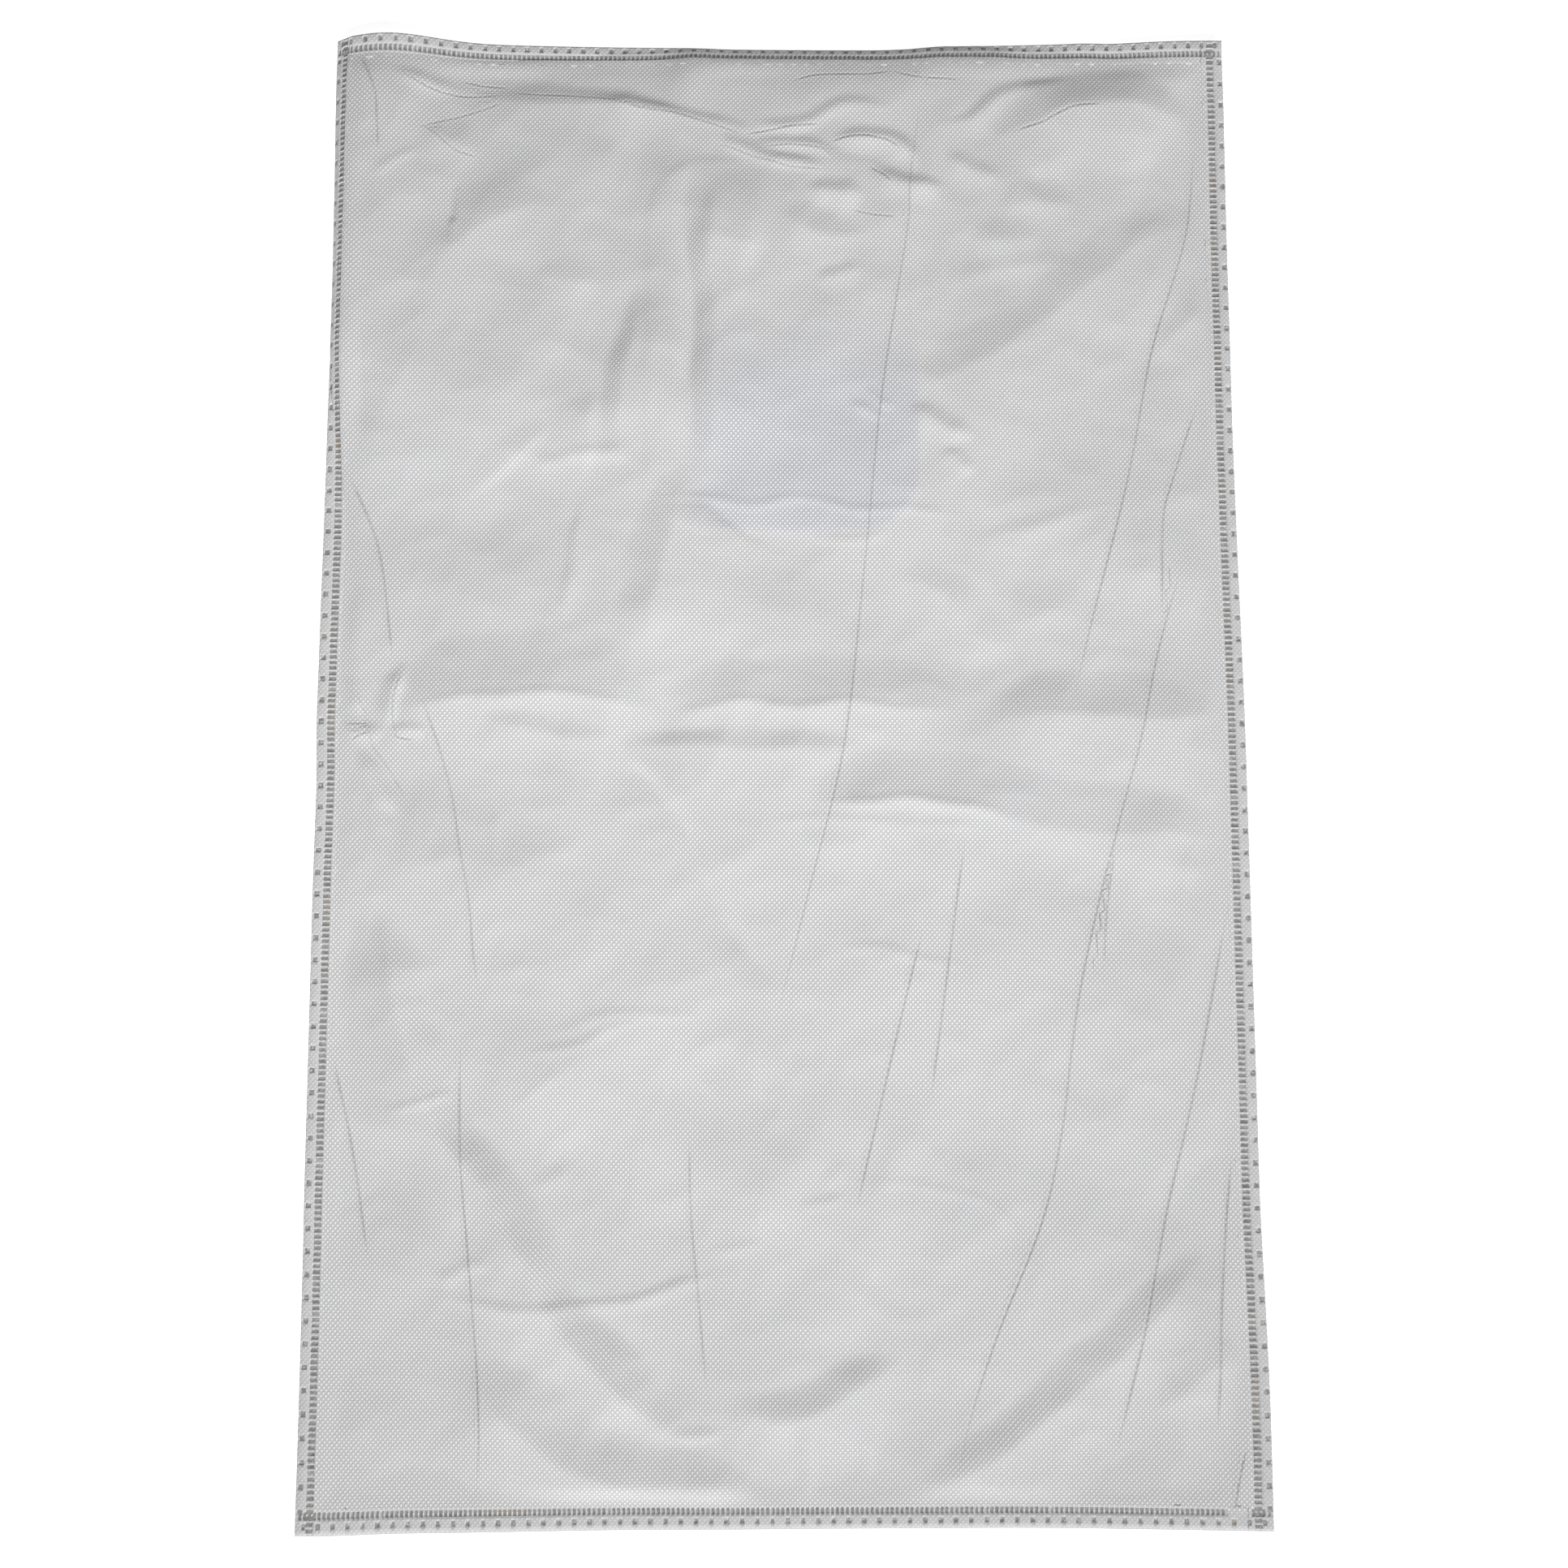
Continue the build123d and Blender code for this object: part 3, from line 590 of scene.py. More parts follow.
# Each weld has a row of bars and a row of dots.
SIDE_WELD = {"pitch": 3.0, "bar": 1.7, "dot_pitch": 11.6, "dot": 2.4}
END_WELD = {"pitch": 2.54, "bar": 1.4, "dot_pitch": 7.8, "dot": 1.9}
WELD_RAMP = 0.45  # the slope beside a mark
WELD_DEPTH = 0.55  # how deep each face is pressed in
RIM_HALF = 0.45  # half the margin's thickness at its cut edge
THINNEST_HALF = 0.15  # and under the deepest mark
RISE_CUTS = [9.0, 9.6, 10.2, 10.8, 11.4]  # extra grid lines where the wall starts to rise
STRIP_SPACING = 2.6  # between the grid lines that follow no mark
LEAST_SPACING = 0.12  # grid lines closer than this become one
BAR_GAP = (227.0, 239.0)  # where the bottom weld lacks its bars


def repeats(length, pitch, width, seed, uneven):
    """Starts and ends of marks that repeat along a seam, each a little off its place and size."""
    random = np.random.default_rng(seed)
    count = int(2 * length / pitch)
    centres = (np.arange(count) - (count - 1) / 2) * pitch
    starts = centres - width / 2 + random.uniform(-uneven, uneven, count)
    ends = centres + width / 2 + random.uniform(-uneven, uneven, count)
    return starts, ends


def marked(t, starts, ends):
    """1 on a mark, falling to 0 over the ramp beside it."""
    t = np.asarray(t)[:, None]
    outside = np.maximum(starts[None] - t, t - ends[None])
    return np.clip(1 - outside / WELD_RAMP, 0, 1).max(axis=1)


def weld_rows(weld, length, dots_across, bars_across, seed):
    """The two rows of one weld: where their marks are along the seam, and in from the cut edge."""
    bars = repeats(length, weld["pitch"], weld["bar"], seed, 0.1)
    dots = repeats(length, weld["dot_pitch"], weld["dot"], seed + 1, 0.25)
    return [("bar", bars, bars_across), ("dot", dots, dots_across)]


SIDE_ROWS = {
    "left": weld_rows(SIDE_WELD, HALF_LENGTH, (1.1, 3.5), (5.7, 9.3), 41),
    "right": weld_rows(SIDE_WELD, HALF_LENGTH, (0.7, 3.0), (5.7, 9.3), 43),
}
END_ROWS = {
    "top": weld_rows(END_WELD, HALF_WIDTH, (1.2, 3.6), (5.3, 8.3), 45),
    "bottom": weld_rows(END_WELD, HALF_WIDTH, (3.3, 5.7), (7.8, 11.0), 45),
}


def cuts_along(rows):
    """Grid lines that follow a row's marks: both sides of each mark, and the ridge between bars."""
    lines = []
    for kind, (starts, ends), _ in rows:
        lines += [starts, ends]
        lines += [starts - WELD_RAMP, ends + WELD_RAMP] if kind == "dot" else [(ends[:-1] + starts[1:]) / 2]
    return np.concatenate(lines)


def cuts_across(rows, cut_edge, inward):
    """Grid lines across the strip, placed from the cut edge."""
    steps = list(RISE_CUTS)
    for _, _, (near, far) in rows:
        steps += [near - WELD_RAMP, near, far, far + WELD_RAMP]
    return cut_edge + inward * np.array(steps)


def lines_between(low, high, *lines):
    """All the lines that are inside the limits, less those too close to another."""
    inside = np.sort(np.concatenate(lines))
    inside = inside[(inside > low + LEAST_SPACING) & (inside < high - LEAST_SPACING)]
    kept = [low]
    for line in inside:
        if line - kept[-1] > LEAST_SPACING:
            kept.append(line)
    return np.array(kept + [high])


def weld_marks(u, v):
    """How far, from 0 to 1, the four welds' bars and dots are pressed in where the lines u and v cross."""
    marks = {kind: np.zeros((len(v), len(u))) for kind in ("bar", "dot")}
    for edge, rows in SIDE_ROWS.items():
        inward = u + HALF_WIDTH if edge == "left" else HALF_WIDTH - u
        for kind, (starts, ends), (near, far) in rows:
            across = marked(inward, np.array([near]), np.array([far]))
            pressed = marked(v, starts, ends)[:, None] * across[None]
            marks[kind] = np.maximum(marks[kind], pressed)
    for edge, rows in END_ROWS.items():
        inward = HALF_LENGTH - v if edge == "top" else v + HALF_LENGTH
        for kind, (starts, ends), (near, far) in rows:
            along = marked(u, starts, ends)
            if edge == "bottom" and kind == "bar":
                along = along * (1 - window(u, *BAR_GAP, 0.2))
            across = marked(inward, np.array([near]), np.array([far]))
            marks[kind] = np.maximum(marks[kind], across[:, None] * along[None])
    return marks["bar"], marks["dot"]


def make_weld_strip(edge, low, high, material):
    """One welded margin of the bag, with its marks pressed into both faces."""
    side_u = [
        cuts_across(SIDE_ROWS["left"], -HALF_WIDTH, 1),
        cuts_across(SIDE_ROWS["right"], HALF_WIDTH, -1),
    ]
    end_v = [
        cuts_across(END_ROWS["top"], HALF_LENGTH, -1),
        cuts_across(END_ROWS["bottom"], -HALF_LENGTH, 1),
    ]
    if edge in END_ROWS:
        fill_u = np.arange(-HALF_WIDTH, HALF_WIDTH, STRIP_SPACING)
        lines_u = lines_between(low[0], high[0], *side_u, cuts_along(END_ROWS[edge]), fill_u)
        lines_v = lines_between(low[1], high[1], *end_v)
    else:
        fill_v = np.arange(-HALF_LENGTH, HALF_LENGTH, STRIP_SPACING)
        lines_u = lines_between(low[0], high[0], *side_u, cuts_along(END_ROWS["top"]))
        lines_v = lines_between(low[1], high[1], *end_v, cuts_along(SIDE_ROWS[edge]), fill_v)
    u, v = np.meshgrid(lines_u, lines_v)
    bars, dots = weld_marks(lines_u, lines_v)
    marks = np.maximum(bars, dots)
    from_cut = nearest_edge(u, v)
    half = mix(RIM_HALF, WALL, smoothstep(0, 2.2, from_cut)) - WELD_DEPTH * marks
    half = half * (1 + 0.05 * ripple(u, v, 7, 51))
    middle = lay(u, v, back_wall, np.zeros(u.shape))
    upper = lay(u, v, back_wall, np.maximum(half, THINNEST_HALF))
    lower = 2 * middle - upper
    rows, columns = u.shape
    count = rows * columns
    faces = [grid_faces(rows, columns), grid_faces(rows, columns, count, flip=True)]
    index = np.arange(count).reshape(rows, columns)
    rim = np.concatenate([index[0, :-1], index[:-1, -1], index[-1, :0:-1], index[:0:-1, 0]])
    after = np.roll(rim, -1)
    faces.append(np.stack([rim, rim + count, after + count, after], axis=-1))
    points = np.concatenate([upper.reshape(-1, 3), lower.reshape(-1, 3)])
    strip = new_piece(edge + "_weld", points, np.concatenate(faces), material)
    for wall_face in strip.data.polygons[-len(rim):]:
        wall_face.use_smooth = False  # so the rim is a crisp cut
    store_flat_place(strip, np.stack([u, u]), np.stack([v, v]))
    store(strip, "weld_bar", np.concatenate([bars.ravel(), bars.ravel()]))
    store(strip, "weld_dot", np.concatenate([dots.ravel(), dots.ravel()]))
    embossed = smoothstep(8.5, 10.5, from_cut).ravel()
    store(strip, "embossed", np.concatenate([embossed, embossed]))
    return strip


# --- Materials ---

def add_node(tree, kind, inputs=None, **settings):
    """A node with its settings made and its sockets set or linked."""
    made = tree.nodes.new(kind)
    for name, value in settings.items():
        setattr(made, name, value)
    for name, value in (inputs or {}).items():
        if isinstance(value, bpy.types.NodeSocket):
            tree.links.new(value, made.inputs[name])
        else:
            made.inputs[name].default_value = value
    return made


def calc(tree, operation, *values):
    """One sum, as a socket."""
    return add_node(tree, "ShaderNodeMath", dict(enumerate(values)), operation=operation).outputs[0]


def remap(tree, value, low, high):
    """0 where a value is below low, 1 above high, and smooth between them."""
    limits = {"Value": value, "From Min": low, "From Max": high}
    return add_node(tree, "ShaderNodeMapRange", limits, interpolation_type="SMOOTHSTEP").outputs["Result"]


def tint(tree, factor, a, b):
    """A colour between two."""
    made = add_node(tree, "ShaderNodeMix", {0: factor, 6: a, 7: b}, data_type="RGBA")
    return made.outputs[2]


def move(tree, operation, place, by):
    """A place moved or scaled by a vector, as a socket."""
    return add_node(tree, "ShaderNodeVectorMath", {0: place, 1: by}, operation=operation).outputs[0]


def noise(tree, place, scale, detail, roughness=0.55, stretch=None):
    """Soft cloudy noise from 0 to 1, about 0.5."""
    if stretch:
        place = move(tree, "MULTIPLY", place, stretch)
    made = add_node(tree, "ShaderNodeTexNoise", {
        "Vector": place, "Scale": scale, "Detail": detail, "Roughness": roughness,
    })
    return made.outputs["Fac"]


def new_group(name, inputs, outputs):
    """An empty group with its sockets, and its input and output nodes."""
    tree = bpy.data.node_groups.new(name, "ShaderNodeTree")
    for socket, (kind, default) in inputs.items():
        made = tree.interface.new_socket(socket, in_out="INPUT", socket_type=kind)
        if default is not None:
            made.default_value = default
    for socket, kind in outputs.items():
        tree.interface.new_socket(socket, in_out="OUTPUT", socket_type=kind)
    return tree, tree.nodes.new("NodeGroupInput"), tree.nodes.new("NodeGroupOutput")


def place_group(tree, group, inputs):
    """The outputs of a group placed in a material with its own values."""
    return add_node(tree, "ShaderNodeGroup", inputs, node_tree=group).outputs


def choose_shader(tree, factor, shader_at_0, shader_at_1, end):
    """Links one of two shaders to a tree's end, by a factor that is 0 or 1."""
    chosen = add_node(tree, "ShaderNodeMixShader", {0: factor, 1: shader_at_0, 2: shader_at_1})
    tree.links.new(chosen.outputs["Shader"], end.inputs["Surface"])


def build_embossing():
    """Raised points in staggered rows, as a heated roller leaves on nonwoven."""
    tree, given, made = new_group(
        "embossed_points",
        {
            "Place": ("NodeSocketVector", None),
            "Cell Width": ("NodeSocketFloat", 0.00256),
            "Cell Length": ("NodeSocketFloat", 0.0028),
            "Wander": ("NodeSocketFloat", 0.0002),
        },
        {"Points": "NodeSocketFloat", "Height": "NodeSocketFloat"},
    )
    place = given.outputs["Place"]
    shift = add_node(tree, "ShaderNodeTexNoise", {"Vector": place, "Scale": 90.0, "Detail": 1.0})
    centred = move(tree, "SUBTRACT", shift.outputs["Color"], (0.5, 0.5, 0.5))
    wander = {0: centred, "Scale": given.outputs["Wander"]}
    wandered = add_node(tree, "ShaderNodeVectorMath", wander, operation="SCALE").outputs[0]
    parts = add_node(tree, "ShaderNodeSeparateXYZ", {0: move(tree, "ADD", place, wandered)}).outputs
    waves = []
    for coordinate, cell in ((parts["X"], "Cell Width"), (parts["Y"], "Cell Length")):
        turns = calc(tree, "DIVIDE", coordinate, given.outputs[cell])
        waves.append(calc(tree, "COSINE", calc(tree, "MULTIPLY", turns, 2 * math.pi)))
    lattice = calc(tree, "MULTIPLY", *waves)
    uneven = calc(tree, "MULTIPLY", calc(tree, "SUBTRACT", noise(tree, place, 700.0, 1.0), 0.5), 0.5)
    tree.links.new(remap(tree, calc(tree, "ADD", lattice, uneven), 0.12, 0.85), made.inputs["Points"])
    tree.links.new(remap(tree, lattice, -0.4, 1.0), made.inputs["Height"])
    return tree


def build_fibre_cloud():
    """Fine fibres that run both ways, and the cloudy thick and thin of spunbonded cloth."""
    tree, given, made = new_group(
        "fibre_cloud",
        {"Place": ("NodeSocketVector", None), "Fibre Scale": ("NodeSocketFloat", 900.0)},
        {"Fibres": "NodeSocketFloat", "Cloud": "NodeSocketFloat", "Patch": "NodeSocketFloat"},
    )
    place = given.outputs["Place"]
    scale = given.outputs["Fibre Scale"]
    one_way = noise(tree, place, scale, 2.0, 0.6, stretch=(1.0, 0.22, 1.0))
    other_way = noise(tree, place, scale, 2.0, 0.6, stretch=(0.25, 1.0, 1.0))
    tree.links.new(calc(tree, "MAXIMUM", one_way, other_way), made.inputs["Fibres"])
    tree.links.new(noise(tree, place, 160.0, 3.0, 0.6), made.inputs["Cloud"])
    tree.links.new(noise(tree, place, 11.0, 2.0, 0.5), made.inputs["Patch"])
    return tree


def build_hair_crease():
    """The pressed line of a hair crease, from the distance to it."""
    tree, given, made = new_group(
        "hair_crease",
        {
            "Distance": ("NodeSocketFloat", 1.0),
            "Sharpness": ("NodeSocketFloat", 1.0),
            "Width": ("NodeSocketFloat", 0.00065),
        },
        {"Groove": "NodeSocketFloat", "Lip": "NodeSocketFloat"},
    )
    for socket, away in (("Groove", 0.0), ("Lip", -1.9)):
        from_line = calc(tree, "DIVIDE", given.outputs["Distance"], given.outputs["Width"])
        offset = calc(tree, "SUBTRACT", from_line, away)
        square = calc(tree, "MULTIPLY", offset, offset)
        bell = calc(tree, "EXPONENT", calc(tree, "MULTIPLY", square, -1.0))
        tree.links.new(calc(tree, "MULTIPLY", bell, given.outputs["Sharpness"]), made.inputs[socket])
    return tree


def build_moulded_surface():
    """Moulded plastic's fine grain, flow marks and light scuffs."""
    tree, given, made = new_group(
        "moulded_surface",
        {"Place": ("NodeSocketVector", None), "Grain Scale": ("NodeSocketFloat", 1400.0)},
        {"Grain": "NodeSocketFloat", "Flow": "NodeSocketFloat", "Scuffs": "NodeSocketFloat"},
    )
    place = given.outputs["Place"]
    tree.links.new(noise(tree, place, given.outputs["Grain Scale"], 2.0), made.inputs["Grain"])
    tree.links.new(noise(tree, place, 26.0, 3.0, 0.5, stretch=(1.0, 0.3, 1.0)), made.inputs["Flow"])
    scratches = noise(tree, place, 320.0, 4.0, 0.7, stretch=(1.0, 0.06, 1.0))
    tree.links.new(remap(tree, scratches, 0.6, 0.72), made.inputs["Scuffs"])
    return tree


EMBOSSING = build_embossing()
FIBRE_CLOUD = build_fibre_cloud()
HAIR_CREASE = build_hair_crease()
MOULDED = build_moulded_surface()


def new_material(name):
    """A material with its tree and its surface shader."""
    material = bpy.data.materials.new(name)
    material.use_nodes = True
    tree = material.node_tree
    return material, tree, tree.nodes["Principled BSDF"]


def raise_surface(tree, shader, height, distance, strength, normal=None):
    """Bump from a height, on top of an earlier bump if there is one."""
    inputs = {"Height": height, "Distance": distance, "Strength": strength}
    if normal is not None:
        inputs["Normal"] = normal
    bump = add_node(tree, "ShaderNodeBump", inputs)
    tree.links.new(bump.outputs["Normal"], shader.inputs["Normal"])
    return bump.outputs["Normal"]


def read(tree, name, vector=False):
    """What was stored on the mesh's points."""
    made = add_node(tree, "ShaderNodeAttribute", attribute_name=name)
    return made.outputs["Vector" if vector else "Fac"]


def make_embossed_fleece(name, welded=False):
    """The white outer fleece: raised points, partly a painted glint, and hair creases and the collar below
    in painted shade, or on the margin the welds' fused marks.
    """
    material, tree, shader = new_material(name)
    place = read(tree, "flat_place", vector=True)
    points = place_group(tree, EMBOSSING, {"Place": place})
    fibres = place_group(tree, FIBRE_CLOUD, {"Place": place})
    raised = points["Points"]
    if welded:
        left_raised = calc(tree, "MULTIPLY_ADD", read(tree, "embossed"), 0.6, 0.4)
        raised = calc(tree, "MULTIPLY", raised, left_raised)
    net = tint(tree, fibres["Patch"], FLEECE_NET_WARM, FLEECE_NET_COOL)
    net = tint(tree, calc(tree, "MULTIPLY", fibres["Cloud"], 0.35), net, FLEECE_THIN)
    if not welded:
        # painted shade where the collar lies under the cloth, darkening the fleece
        shade = calc(tree, "MULTIPLY", read(tree, "collar_painted_shade"), 0.9)
        net = tint(tree, shade, net, FLEECE_COLLAR_PAINTED_SHADE)
    # the raised points are painted lighter: partly their smoother fused film, partly a painted glint
    colour = tint(tree, raised, net, FLEECE_POINT_PAINTED_GLINT)
    rough = calc(tree, "MULTIPLY_ADD", raised, -0.16, 0.78)
    rough = calc(tree, "MULTIPLY_ADD", fibres["Cloud"], 0.1, rough)
    normal = raise_surface(tree, shader, points["Height"], 0.00035, 0.4 if welded else 0.6)
    normal = raise_surface(tree, shader, fibres["Fibres"], 0.00018, 0.5, normal)
    if welded:
        broken = remap(tree, noise(tree, place, 620.0, 2.0), 0.36, 0.5)
        whole = calc(tree, "MULTIPLY_ADD", broken, 0.32, 0.68)
        dots = calc(tree, "MULTIPLY", read(tree, "weld_dot"), whole)
        bars = remap(tree, read(tree, "weld_bar"), 0.72, 1.0)
        mark = calc(tree, "MAXIMUM", bars, remap(tree, dots, 0.6, 0.95))
        cloudy = remap(tree, noise(tree, place, 420.0, 2.0), 0.35, 0.65)
        scorched = remap(tree, noise(tree, place, 60.0, 1.0), 0.6, 0.78)
        fused = tint(tree, cloudy, WELD_FILM_DARK, WELD_FILM)
        fused = tint(tree, scorched, fused, WELD_FILM_SCORCHED)
        colour = tint(tree, mark, colour, fused)
        rough = calc(tree, "MULTIPLY_ADD", mark, -0.3, rough)
    else:
        sides = {"Distance": read(tree, "crease_distance"), "Sharpness": read(tree, "crease_sharpness")}
        crease = place_group(tree, HAIR_CREASE, sides)
        # painted shade darkens each hair crease's groove
        colour = tint(tree, calc(tree, "MULTIPLY", crease["Groove"], 0.42), colour, FLEECE_CREASE_PAINTED_SHADE)
        groove = calc(tree, "SUBTRACT", calc(tree, "MULTIPLY", crease["Lip"], 0.35), crease["Groove"])
        raise_surface(tree, shader, groove, 0.0005, 0.9, normal)
    tree.links.new(colour, shader.inputs["Base Color"])
    tree.links.new(rough, shader.inputs["Roughness"])
    shader.inputs["Sheen Weight"].default_value = 0.12
    shader.inputs["Sheen Roughness"].default_value = 0.6
    shader.inputs["Specular IOR Level"].default_value = 0.35
    return material


def make_plain_nonwoven(name, thin, thick, rough):
    """An unembossed web: the filter layer or the inner scrim."""
    material, tree, shader = new_material(name)
    place = read(tree, "flat_place", vector=True)
    fibres = place_group(tree, FIBRE_CLOUD, {"Place": place, "Fibre Scale": 700.0})
    colour = tint(tree, remap(tree, fibres["Cloud"], 0.3, 0.7), thin, thick)
    tree.links.new(colour, shader.inputs["Base Color"])
    roughness = calc(tree, "MULTIPLY_ADD", fibres["Fibres"], 0.15, rough - 0.07)
    tree.links.new(roughness, shader.inputs["Roughness"])
    shader.inputs["Specular IOR Level"].default_value = 0.35
    raise_surface(tree, shader, fibres["Fibres"], 0.0003, 0.7)
    return material


def make_moulded_plastic(name, colour, deep, rough, specular):
    """Moulded polypropylene or rubber, for the collar's hard pieces."""
    material, tree, shader = new_material(name)
    place = add_node(tree, "ShaderNodeTexCoord").outputs["Object"]
    surface = place_group(tree, MOULDED, {"Place": place})
    shade = tint(tree, remap(tree, surface["Flow"], 0.3, 0.7), deep, colour)
    worn = tuple(min(1.0, c * 1.25 + 0.02) for c in colour[:3]) + (1.0,)
    shade = tint(tree, calc(tree, "MULTIPLY", surface["Scuffs"], 0.35), shade, worn)
    tree.links.new(shade, shader.inputs["Base Color"])
    roughness = calc(tree, "MULTIPLY_ADD", surface["Grain"], 0.16, rough - 0.08)
    roughness = calc(tree, "MULTIPLY_ADD", surface["Scuffs"], 0.12, roughness)
    tree.links.new(roughness, shader.inputs["Roughness"])
    shader.inputs["Specular IOR Level"].default_value = specular
    raise_surface(tree, shader, surface["Grain"], 0.00006, 0.6)
    return material


FLEECE_NET_WARM = (0.578, 0.574, 0.57, 1)
FLEECE_NET_COOL = (0.562, 0.566, 0.582, 1)
FLEECE_THIN = (0.51, 0.508, 0.512, 1)
# painted shade of the collar seen through the cloth
FLEECE_COLLAR_PAINTED_SHADE = (0.5, 0.505, 0.535, 1)
# the raised points' colour, partly a painted glint
FLEECE_POINT_PAINTED_GLINT = (0.9, 0.9, 0.905, 1)
# painted shade in the hair creases
FLEECE_CREASE_PAINTED_SHADE = (0.3, 0.295, 0.295, 1)
WELD_FILM = (0.33, 0.325, 0.32, 1)
WELD_FILM_DARK = (0.22, 0.215, 0.21, 1)
WELD_FILM_SCORCHED = (0.3, 0.26, 0.22, 1)

FLEECE = make_embossed_fleece("embossed_fleece_white")
WELDED = make_embossed_fleece("welded_fleece_white", welded=True)
FILTER_WEB = make_plain_nonwoven("filter_web_white", (0.66, 0.66, 0.66, 1), (0.8, 0.8, 0.8, 1), 0.9)
SCRIM = make_plain_nonwoven("inner_scrim_white", (0.6, 0.6, 0.6, 1), (0.74, 0.74, 0.74, 1), 0.75)

# --- The pieces ---

# The collar's finishes: colour, deeper colour, roughness, specular, and the pieces that have them.
for finish, colour, deep, rough, specular, nodes in (
    ("collar_plastic_pale_grey", (0.56, 0.57, 0.585, 1), (0.5, 0.51, 0.53, 1), 0.45, 0.5,
     ["collar_cover", "slide_guide", "collar_base", "inner_ring"]),
    ("rivet_plastic_grey", (0.4, 0.41, 0.43, 1), (0.36, 0.37, 0.39, 1), 0.38, 0.5,
     ["collar_rivets", "ring_studs"]),
    ("slide_plastic_blue_grey", (0.22, 0.25, 0.29, 1), (0.19, 0.22, 0.26, 1), 0.4, 0.5, ["closing_slide"]),
    ("seal_rubber_black", (0.022, 0.022, 0.024, 1), (0.016, 0.016, 0.018, 1), 0.7, 0.3, ["inlet_seal"]),
    ("hot_melt_glue_amber", (0.66, 0.58, 0.36, 1), (0.58, 0.5, 0.3, 1), 0.25, 0.5, ["collar_glue"]),
):
    material = make_moulded_plastic(finish, colour, deep, rough, specular)
    for node in nodes:
        for material_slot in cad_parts[node].material_slots:
            material_slot.material = material

INNER_U = HALF_WIDTH - SEAM_WIDTH
INNER_V = HALF_LENGTH - SEAM_WIDTH

for edge, low, high in (
    ("left", (-HALF_WIDTH, -HALF_LENGTH), (-INNER_U, HALF_LENGTH)),
    ("right", (INNER_U, -HALF_LENGTH), (HALF_WIDTH, HALF_LENGTH)),
    ("top", (-INNER_U, INNER_V), (INNER_U, HALF_LENGTH)),
    ("bottom", (-INNER_U, -HALF_LENGTH), (INNER_U, -INNER_V)),
):
    strip = make_weld_strip(edge, low, high, WELDED)
    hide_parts(edge + "_seam")
    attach(strip, "bag")

for side, wall, out in (("back", back_wall, 1.0), ("front", front_wall, -1.0)):
    for layer, fabric, material, offset in (
        ("outer", "embossed_fleece", FLEECE, WALL),
        ("filter", "filter_web", FILTER_WEB, WALL - OUTER_PLY - PLY_SLACK),
        ("inner", "inner_scrim", SCRIM, INNER_PLY - 2 * PLY_SLACK),
    ):
        on_show = side == "back" and layer == "outer"
        spacing = SEEN_SPACING if on_show else SPACING
        hole = FLEECE_HOLE if side == "front" else None
        ply, u, v = make_ply(f"{side}_{layer}_sheet", wall, out * offset, spacing, material, hole)
        if layer == "outer":
            beside, sharpness = beside_creases(u, v)
            store(ply, "crease_distance", beside)
            store(ply, "crease_sharpness", sharpness)
            # the mask for the collar's painted shade
            store(ply, "collar_painted_shade", collar_shadow(u, v))
        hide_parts(f"{side}_{layer}_ply")
        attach(ply, "bag")

# --- Floor, light and camera ---

FLOOR_REACH = 6.0
FLOOR_Z = -0.0003

floor_paint, floor_tree, floor_shader = new_material("floor_white")
for socket, value in {
    "Base Color": (0.93, 0.93, 0.93, 1), "Roughness": 0.9, "Specular IOR Level": 0.1,
    "Emission Color": (1, 1, 1, 1), "Emission Strength": 0.68,
}.items():
    floor_shader.inputs[socket].default_value = value
choose_shader(  # clear from underneath, so the collar shows
    floor_tree,
    add_node(floor_tree, "ShaderNodeNewGeometry").outputs["Backfacing"],
    floor_shader.outputs["BSDF"],
    add_node(floor_tree, "ShaderNodeBsdfTransparent").outputs["BSDF"],
    floor_tree.nodes["Material Output"],
)
floor_mesh = bpy.data.meshes.new("floor")
corners = [(x * FLOOR_REACH, y * FLOOR_REACH, FLOOR_Z) for x, y in ((-1, -1), (1, -1), (1, 1), (-1, 1))]
floor_mesh.from_pydata(corners, [], [(0, 1, 2, 3)])
floor_mesh.materials.append(floor_paint)
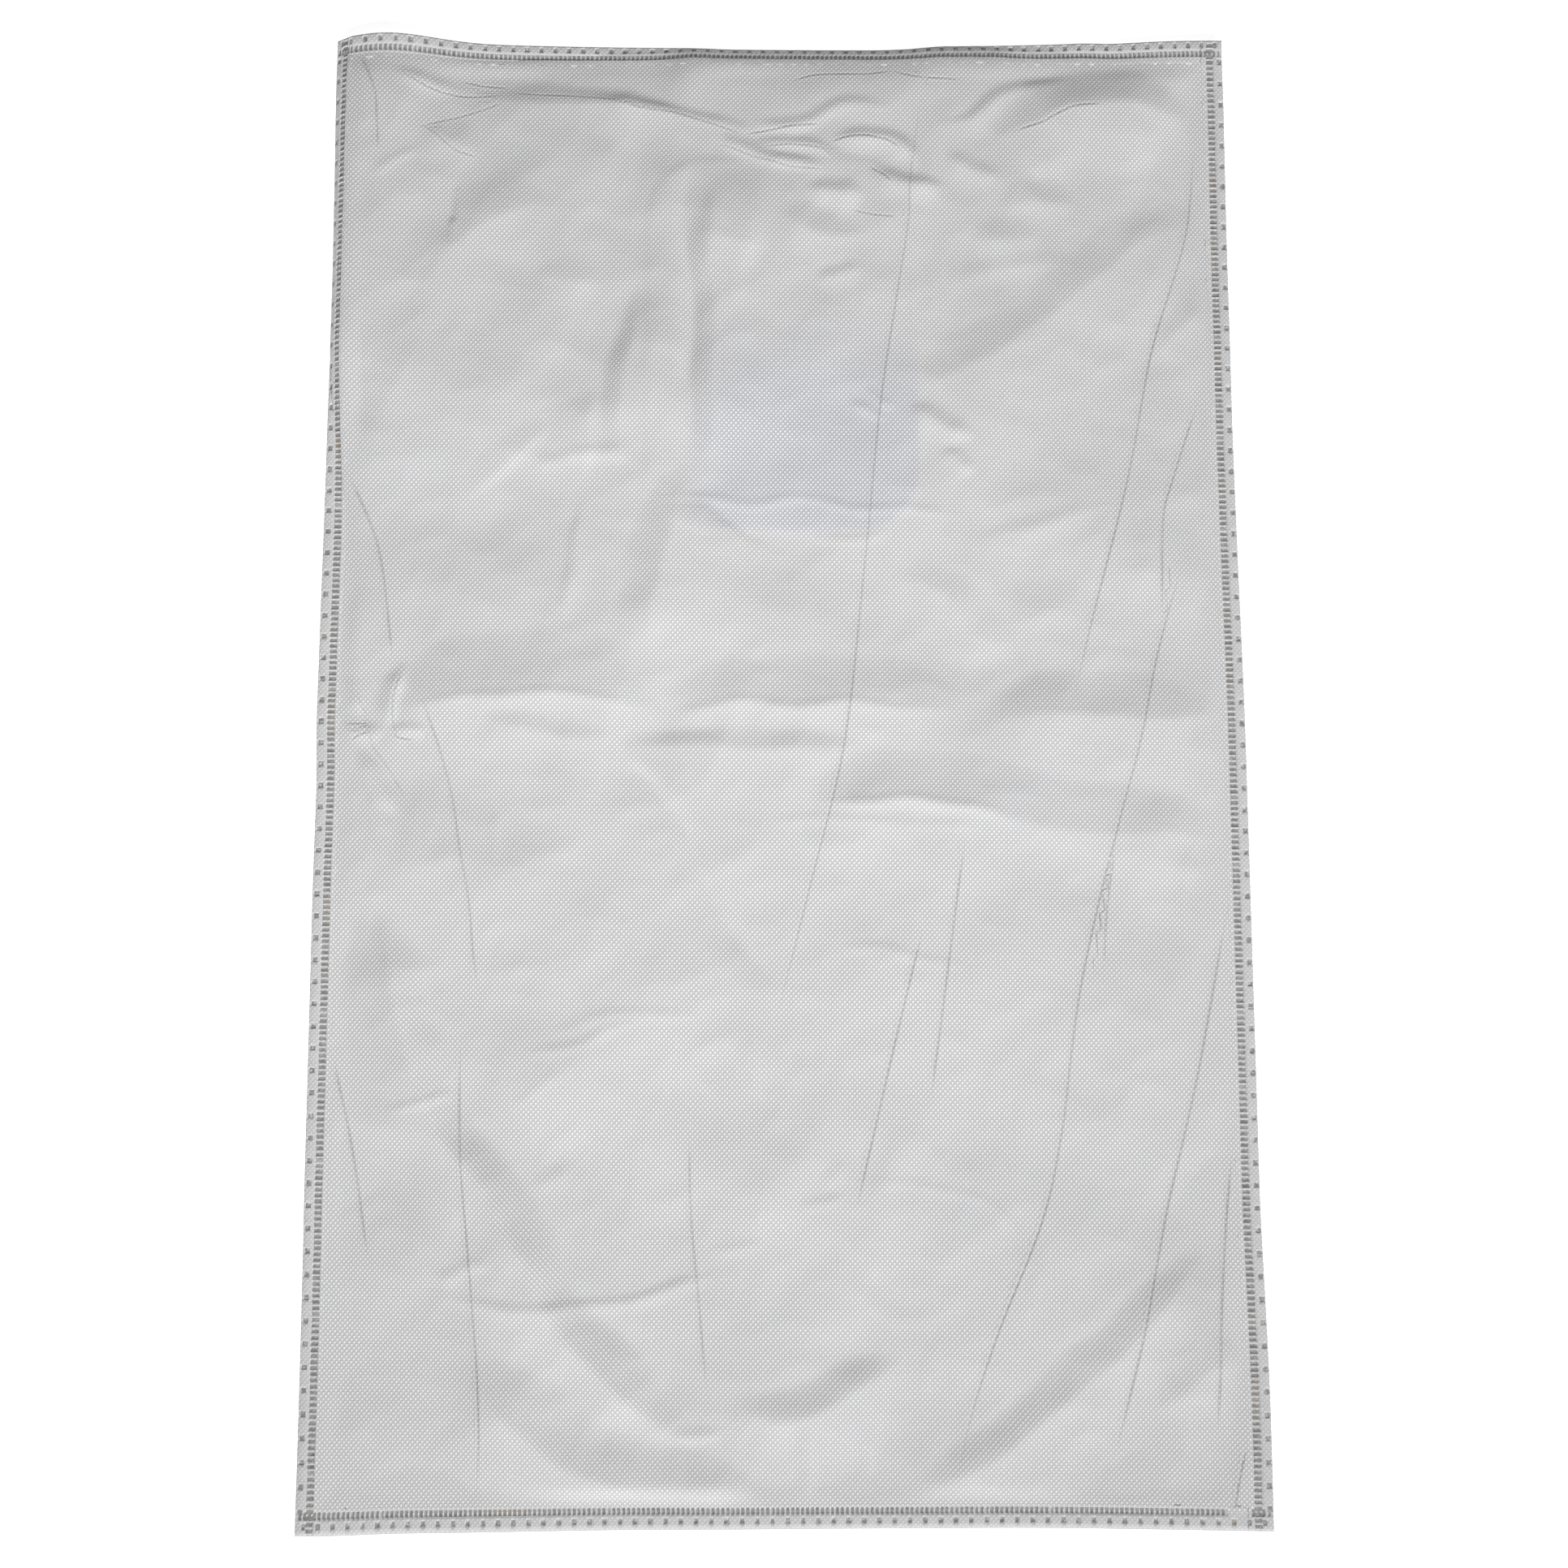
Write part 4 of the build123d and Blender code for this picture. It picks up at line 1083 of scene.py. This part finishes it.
add_object("floor", floor_mesh)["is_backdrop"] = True

# A soft light beyond the closed end. It is turned up past the bag, so the cloth only gets its edge.
KEY_HEADING = math.radians(-73)
KEY_HEIGHT = math.radians(38)
KEY_TURNED_UP = math.radians(74)
KEY_DISTANCE = 4.0

key_lamp = bpy.data.lights.new("key_light", "AREA")
key_lamp.shape = "SQUARE"
key_lamp.size = 1.2
key_lamp.energy = 562
key_light = add_object("key_light", key_lamp)
key_light.location = (
    KEY_DISTANCE * math.cos(KEY_HEIGHT) * math.cos(KEY_HEADING),
    KEY_DISTANCE * math.cos(KEY_HEIGHT) * math.sin(KEY_HEADING),
    KEY_DISTANCE * math.sin(KEY_HEIGHT),
)
key_light.rotation_euler = (math.pi / 2 - KEY_HEIGHT + KEY_TURNED_UP, 0, KEY_HEADING + math.pi / 2)

overhead_lamp = bpy.data.lights.new("overhead_light", "SPOT")
overhead_lamp.energy = 27
overhead_lamp.spot_size = math.radians(40)
overhead_lamp.spot_blend = 1.0
overhead_lamp.shadow_soft_size = 0.3
add_object("overhead_light", overhead_lamp).location = (-0.03, -0.06, 1.6)

world = bpy.data.worlds.new("studio")
world.use_nodes = True
studio = world.node_tree
room = studio.nodes["Background"]
room.inputs["Color"].default_value = (1, 1, 1, 1)
room.inputs["Strength"].default_value = 0.235
choose_shader(  # the camera sees a pale backdrop that lights nothing
    studio,
    add_node(studio, "ShaderNodeLightPath").outputs["Is Camera Ray"],
    room.outputs["Background"],
    add_node(studio, "ShaderNodeBackground", {"Color": (0.92, 0.92, 0.92, 1)}).outputs["Background"],
    studio.nodes["World Output"],
)
bpy.context.scene.world = world
bpy.context.scene.view_settings.view_transform = "Standard"

camera_data = bpy.data.cameras.new("camera")
camera_data.sensor_width = 36
camera_data.lens = 44.37
camera = add_object("camera", camera_data)
camera.location = (0.00145, -0.1444, 1.0271)
camera.rotation_mode = "XYZ"
camera.rotation_euler = (math.radians(7.13), 0, math.radians(0.151))
bpy.context.scene.camera = camera

low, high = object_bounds()
